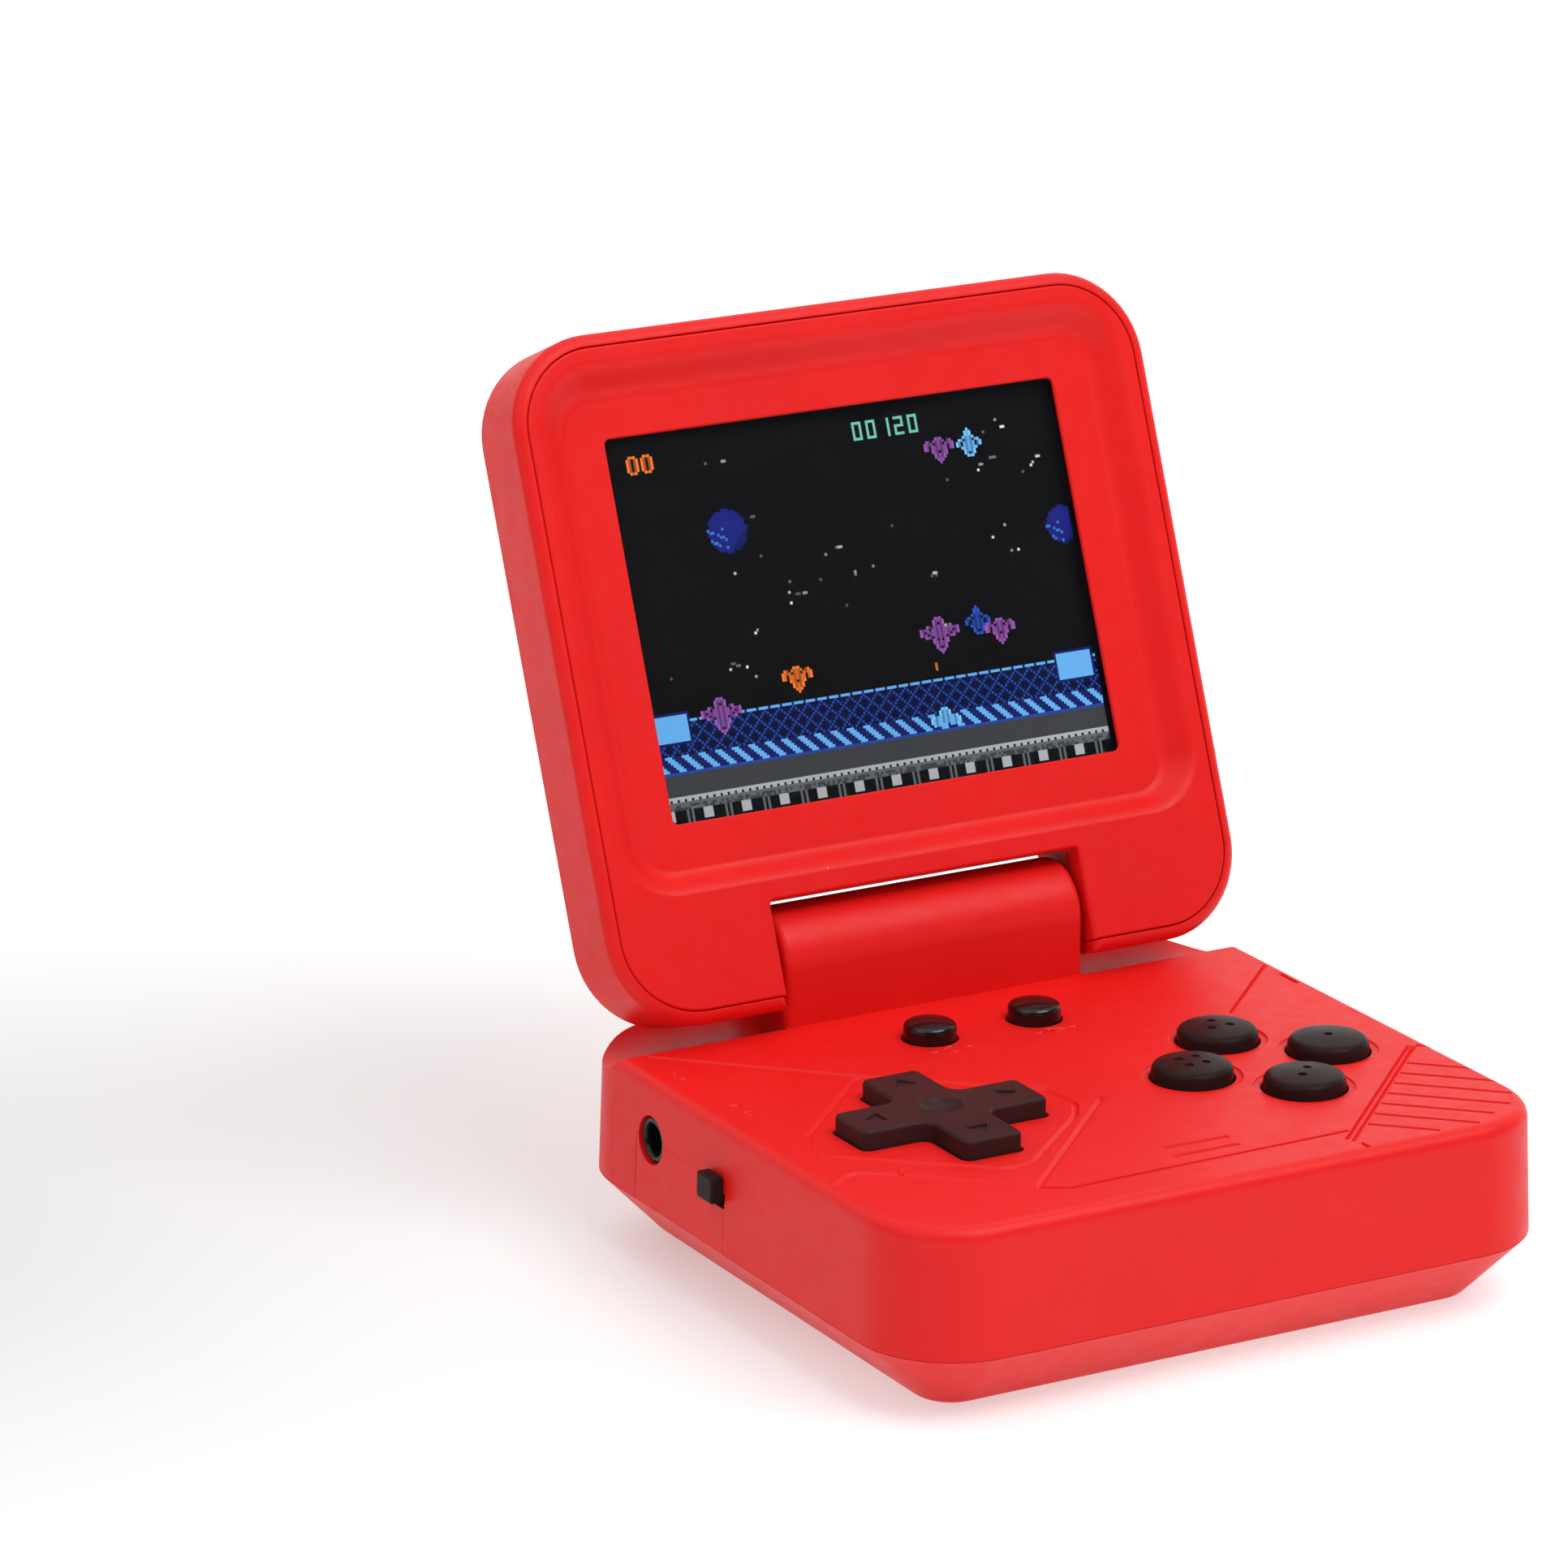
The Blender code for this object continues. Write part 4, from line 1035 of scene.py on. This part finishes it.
def paint_ground(cells):
    """A lattice fence over a striped kerb, a road and a line of piers."""
    for x in range(COLUMNS):
        for y in range(25, 37):
            mesh = (x + y) % 6 == 0 or (x - y) % 6 == 0
            cells[x, y] = BLUE if mesh else DUSK
        cells[x, 37] = PALE_BLUE if x % 5 else NAVY
        for y in range(19, 25):
            cells[x, y] = PALE_BLUE if (x + y) % 7 < 3 else NAVY
        for y in range(10, 19):
            cells[x, y] = SLATE
        cells[x, 18] = BLUE
        cells[x, 9] = LIGHT_GREY
        cells[x, 8] = TAR if x % 3 == 0 else LIGHT_GREY
        cells[x, 7] = GREY
        for y in range(5, 7):
            cells[x, y] = GREY if wobble(x, y) > 0.5 else SLATE
        for y in range(0, 5):
            pier, slot = x % 16 < 4, 8 <= x % 16 < 12
            cells[x, y] = GREY if slot and x % 2 else SHADE
            if pier and y > 0:
                cells[x, y] = LIGHT_GREY
    for x0, x1 in ((0, 17), (174, 191)):
        for x in range(x0, x1):
            for y in range(29, 41):
                edge = x in (x0, x1 - 1) or y in (29, 40)
                cells[x, y] = NAVY if edge else PALE_BLUE


def picture_cells():
    """The colour of each cell that isn't plain sky."""
    cells = {}
    paint_stars(cells)
    for x, y, radius in ((46, 104, 8), (188, 88, 7)):
        paint_planet(cells, x, y, radius)
    paint_ground(cells)
    for x, y, colour, rows in CRAFT:
        paint_ship(cells, x, y, colour, rows)
    for j in range(3):
        cells[123, 41 + j] = AMBER
    for place, figure in enumerate((0, 0, 1, 2, 0)):
        for i, j in digit_cells(figure):
            cells[106 + 6 * place + i, 131 + j] = TEAL
    return cells


def picture():
    """The lit panel: a flat mesh of square cells, each with its own colour, in front of the panel's glass."""
    glass = size_of("lcd_panel", LID.inverted())[1].z
    mesh = bpy.data.meshes.new("screen_picture")
    wide, tall = SCREEN_X / COLUMNS, SCREEN_Y / ROWS
    z = glass + 0.05
    points, faces = [], []
    for row in range(ROWS + 1):
        for column in range(COLUMNS + 1):
            x, y = -SCREEN_X / 2 + wide * column, SCREEN_MID - SCREEN_Y / 2 + tall * row
            points.append(Vector((x, y, z)) * MM)
    stride = COLUMNS + 1
    for row in range(ROWS):
        for column in range(COLUMNS):
            first = row * stride + column
            faces.append((first, first + 1, first + 1 + stride, first + stride))
    mesh.from_pydata(points, [], faces)
    cells = picture_cells()
    layer = mesh.color_attributes.new("picture", "FLOAT_COLOR", "CORNER")
    colours = []
    for row in range(ROWS):
        for column in range(COLUMNS):
            colours += [*cells.get((column, row), SKY), 1.0] * 4
    layer.data.foreach_set("color", colours)
    mesh.transform(LID)
    made = bpy.data.objects.new("screen_picture", mesh)
    bpy.context.scene.collection.objects.link(made)
    mesh.materials.append(picture_material())
    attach(made, "lid")


# CAD nodes that stay, with their materials


def coat_kept_nodes():
    board, cells = board_material(), cell_material()
    coats = {
        "main_board": board,
        "display_board": board,
        "processor_chip": CHIP,
        "dpad_pivot_disc": BLACK,
        "power_switch_body": NICKEL,
        "speaker": NICKEL,
        "hinge_clutch": STEEL,
        "hinge_pin_left": PIN_STEEL,
        "hinge_pin_right": PIN_STEEL,
        "lcd_panel": PANEL,
        "lcd_tray": STEEL,
        "display_cable_base": WIRE,
        "display_cable_lid": WIRE,
        "battery_door_screw": SCREW_STEEL,
    }
    for number in (1, 2, 3):
        coats[f"battery_cell_{number}"] = cells
        coats[f"battery_spring_{number}"] = NICKEL
        coats[f"battery_contact_{number}"] = NICKEL
    for number in (1, 2, 3, 4):
        coats[f"case_screw_{number}"] = SCREW_STEEL
    for name in ("membrane_action", "membrane_dpad", "membrane_menu"):
        coats[name] = RUBBER
    for name, coat in coats.items():
        NODES[name].data.materials.clear()
        NODES[name].data.materials.append(coat)


# Stage

AZIMUTH, ELEVATION, ROLL = math.radians(-29.136), math.radians(17.285), math.radians(-0.089)
AIM, DISTANCE = Vector((-0.02073, 0.02435, 0.05108)), 0.800956
FOCAL, SENSOR = 168.43, 36.0
LAMP_AIM = Vector((0, 0, 0.03))


def pale_floor():
    """A matt floor whose faint glow hides the far edge, with a painted soft shadow to the left of the object.
    """
    bm = bmesh.new()
    bmesh.ops.create_grid(bm, x_segments=8, y_segments=8, size=6000)
    floor = solid("floor", bm, at(0, 0, -0.05))
    made, nodes, links, shader = new_material("pale_floor")
    fleck = noise(nodes, links, 3)
    shade = tint(nodes, links, fleck.outputs["Fac"], (0.54, 0.54, 0.54), (0.56, 0.56, 0.56))
    links.new(shade, shader.inputs["Base Color"])
    shader.inputs["Roughness"].default_value = 0.7
    shader.inputs["Emission Color"].default_value = (1, 1, 1, 1)
    # The glow is weaker near a spot left of and behind the object: a painted soft shadow on the floor.
    painted_shadow_distance = nodes.new("ShaderNodeVectorMath")
    painted_shadow_distance.operation = "DISTANCE"
    painted_shadow_distance.inputs[1].default_value = (-0.13, 0.08, 0.0)
    links.new(own_place(nodes), painted_shadow_distance.inputs[0])
    glow = spread(nodes, links, painted_shadow_distance.outputs["Value"], 0.15, 0.56, 0.03, 0.17)
    links.new(glow, shader.inputs["Emission Strength"])
    floor.data.materials.append(made)


def combined(nodes, links, operation, first, second):
    """One value from two."""
    made = nodes.new("ShaderNodeMath")
    made.operation = operation
    links.new(first, made.inputs[0])
    links.new(second, made.inputs[1])
    return made.outputs["Value"]


def soft_sky():
    """White light from above and behind, dim from the front and the left, with a band at the horizon."""
    world = bpy.data.worlds.new("studio")
    world.use_nodes = True
    nodes, links = world.node_tree.nodes, world.node_tree.links
    ahead = nodes.new("ShaderNodeTexCoord")
    split = nodes.new("ShaderNodeSeparateXYZ")
    links.new(ahead.outputs["Generated"], split.inputs["Vector"])
    depth = spread(nodes, links, split.outputs["Y"], 0.06, 1.0, -0.4, 0.4)
    height = spread(nodes, links, split.outputs["Z"], 0.0, 1.1, 0.45, 0.85)
    side = spread(nodes, links, split.outputs["X"], 0.4, 1.0, -0.8, -0.1)
    horizon = spread(nodes, links, split.outputs["Z"], 0.5, 0.0, 0.05, 0.25)
    strength = combined(nodes, links, "MULTIPLY", depth, side)
    strength = combined(nodes, links, "MAXIMUM", strength, height)
    strength = combined(nodes, links, "MAXIMUM", strength, horizon)
    links.new(strength, nodes["Background"].inputs["Strength"])
    nodes["Background"].inputs["Color"].default_value = (1, 1, 1, 1)
    bpy.context.scene.world = world


def lamp(name, place, aim, size, power):
    light = bpy.data.lights.new(name, "AREA")
    light.shape = "RECTANGLE"
    light.size, light.size_y = size
    light.energy = power
    made = bpy.data.objects.new(name, light)
    made.location = place
    made.rotation_euler = (aim - Vector(place)).to_track_quat("-Z", "Y").to_euler()
    bpy.context.scene.collection.objects.link(made)


def viewpoint():
    """The camera, a little above and to the left of the player."""
    camera = bpy.data.cameras.new("camera")
    camera.sensor_width = SENSOR
    camera.lens = FOCAL
    camera.clip_start, camera.clip_end = 0.05, 30.0
    eye = bpy.data.objects.new("camera", camera)
    level = math.cos(ELEVATION)
    back = Vector((math.sin(AZIMUTH) * level, -math.cos(AZIMUTH) * level, math.sin(ELEVATION)))
    turn = back.to_track_quat("Z", "Y").to_matrix().to_4x4() @ Matrix.Rotation(ROLL, 4, "Z")
    eye.matrix_world = Matrix.Translation(AIM + back * DISTANCE) @ turn
    bpy.context.scene.collection.objects.link(eye)
    bpy.context.scene.camera = eye


def studio():
    pale_floor()
    soft_sky()
    lamp("key", (0.25, -0.66, 1.08), LAMP_AIM, (0.9, 0.6), 8.4)
    lamp("fill", (-0.9, -0.25, 0.75), LAMP_AIM, (0.7, 0.7), 1.5)
    bpy.context.scene.view_settings.view_transform = "Standard"
    viewpoint()


studio()
top_shell()
bottom_shell()
battery_door()
action_caps()
menu_caps()
direction_pad()
jack()
power_knob()
lid_back()
lid_front()
lens()
picture()
coat_kept_nodes()
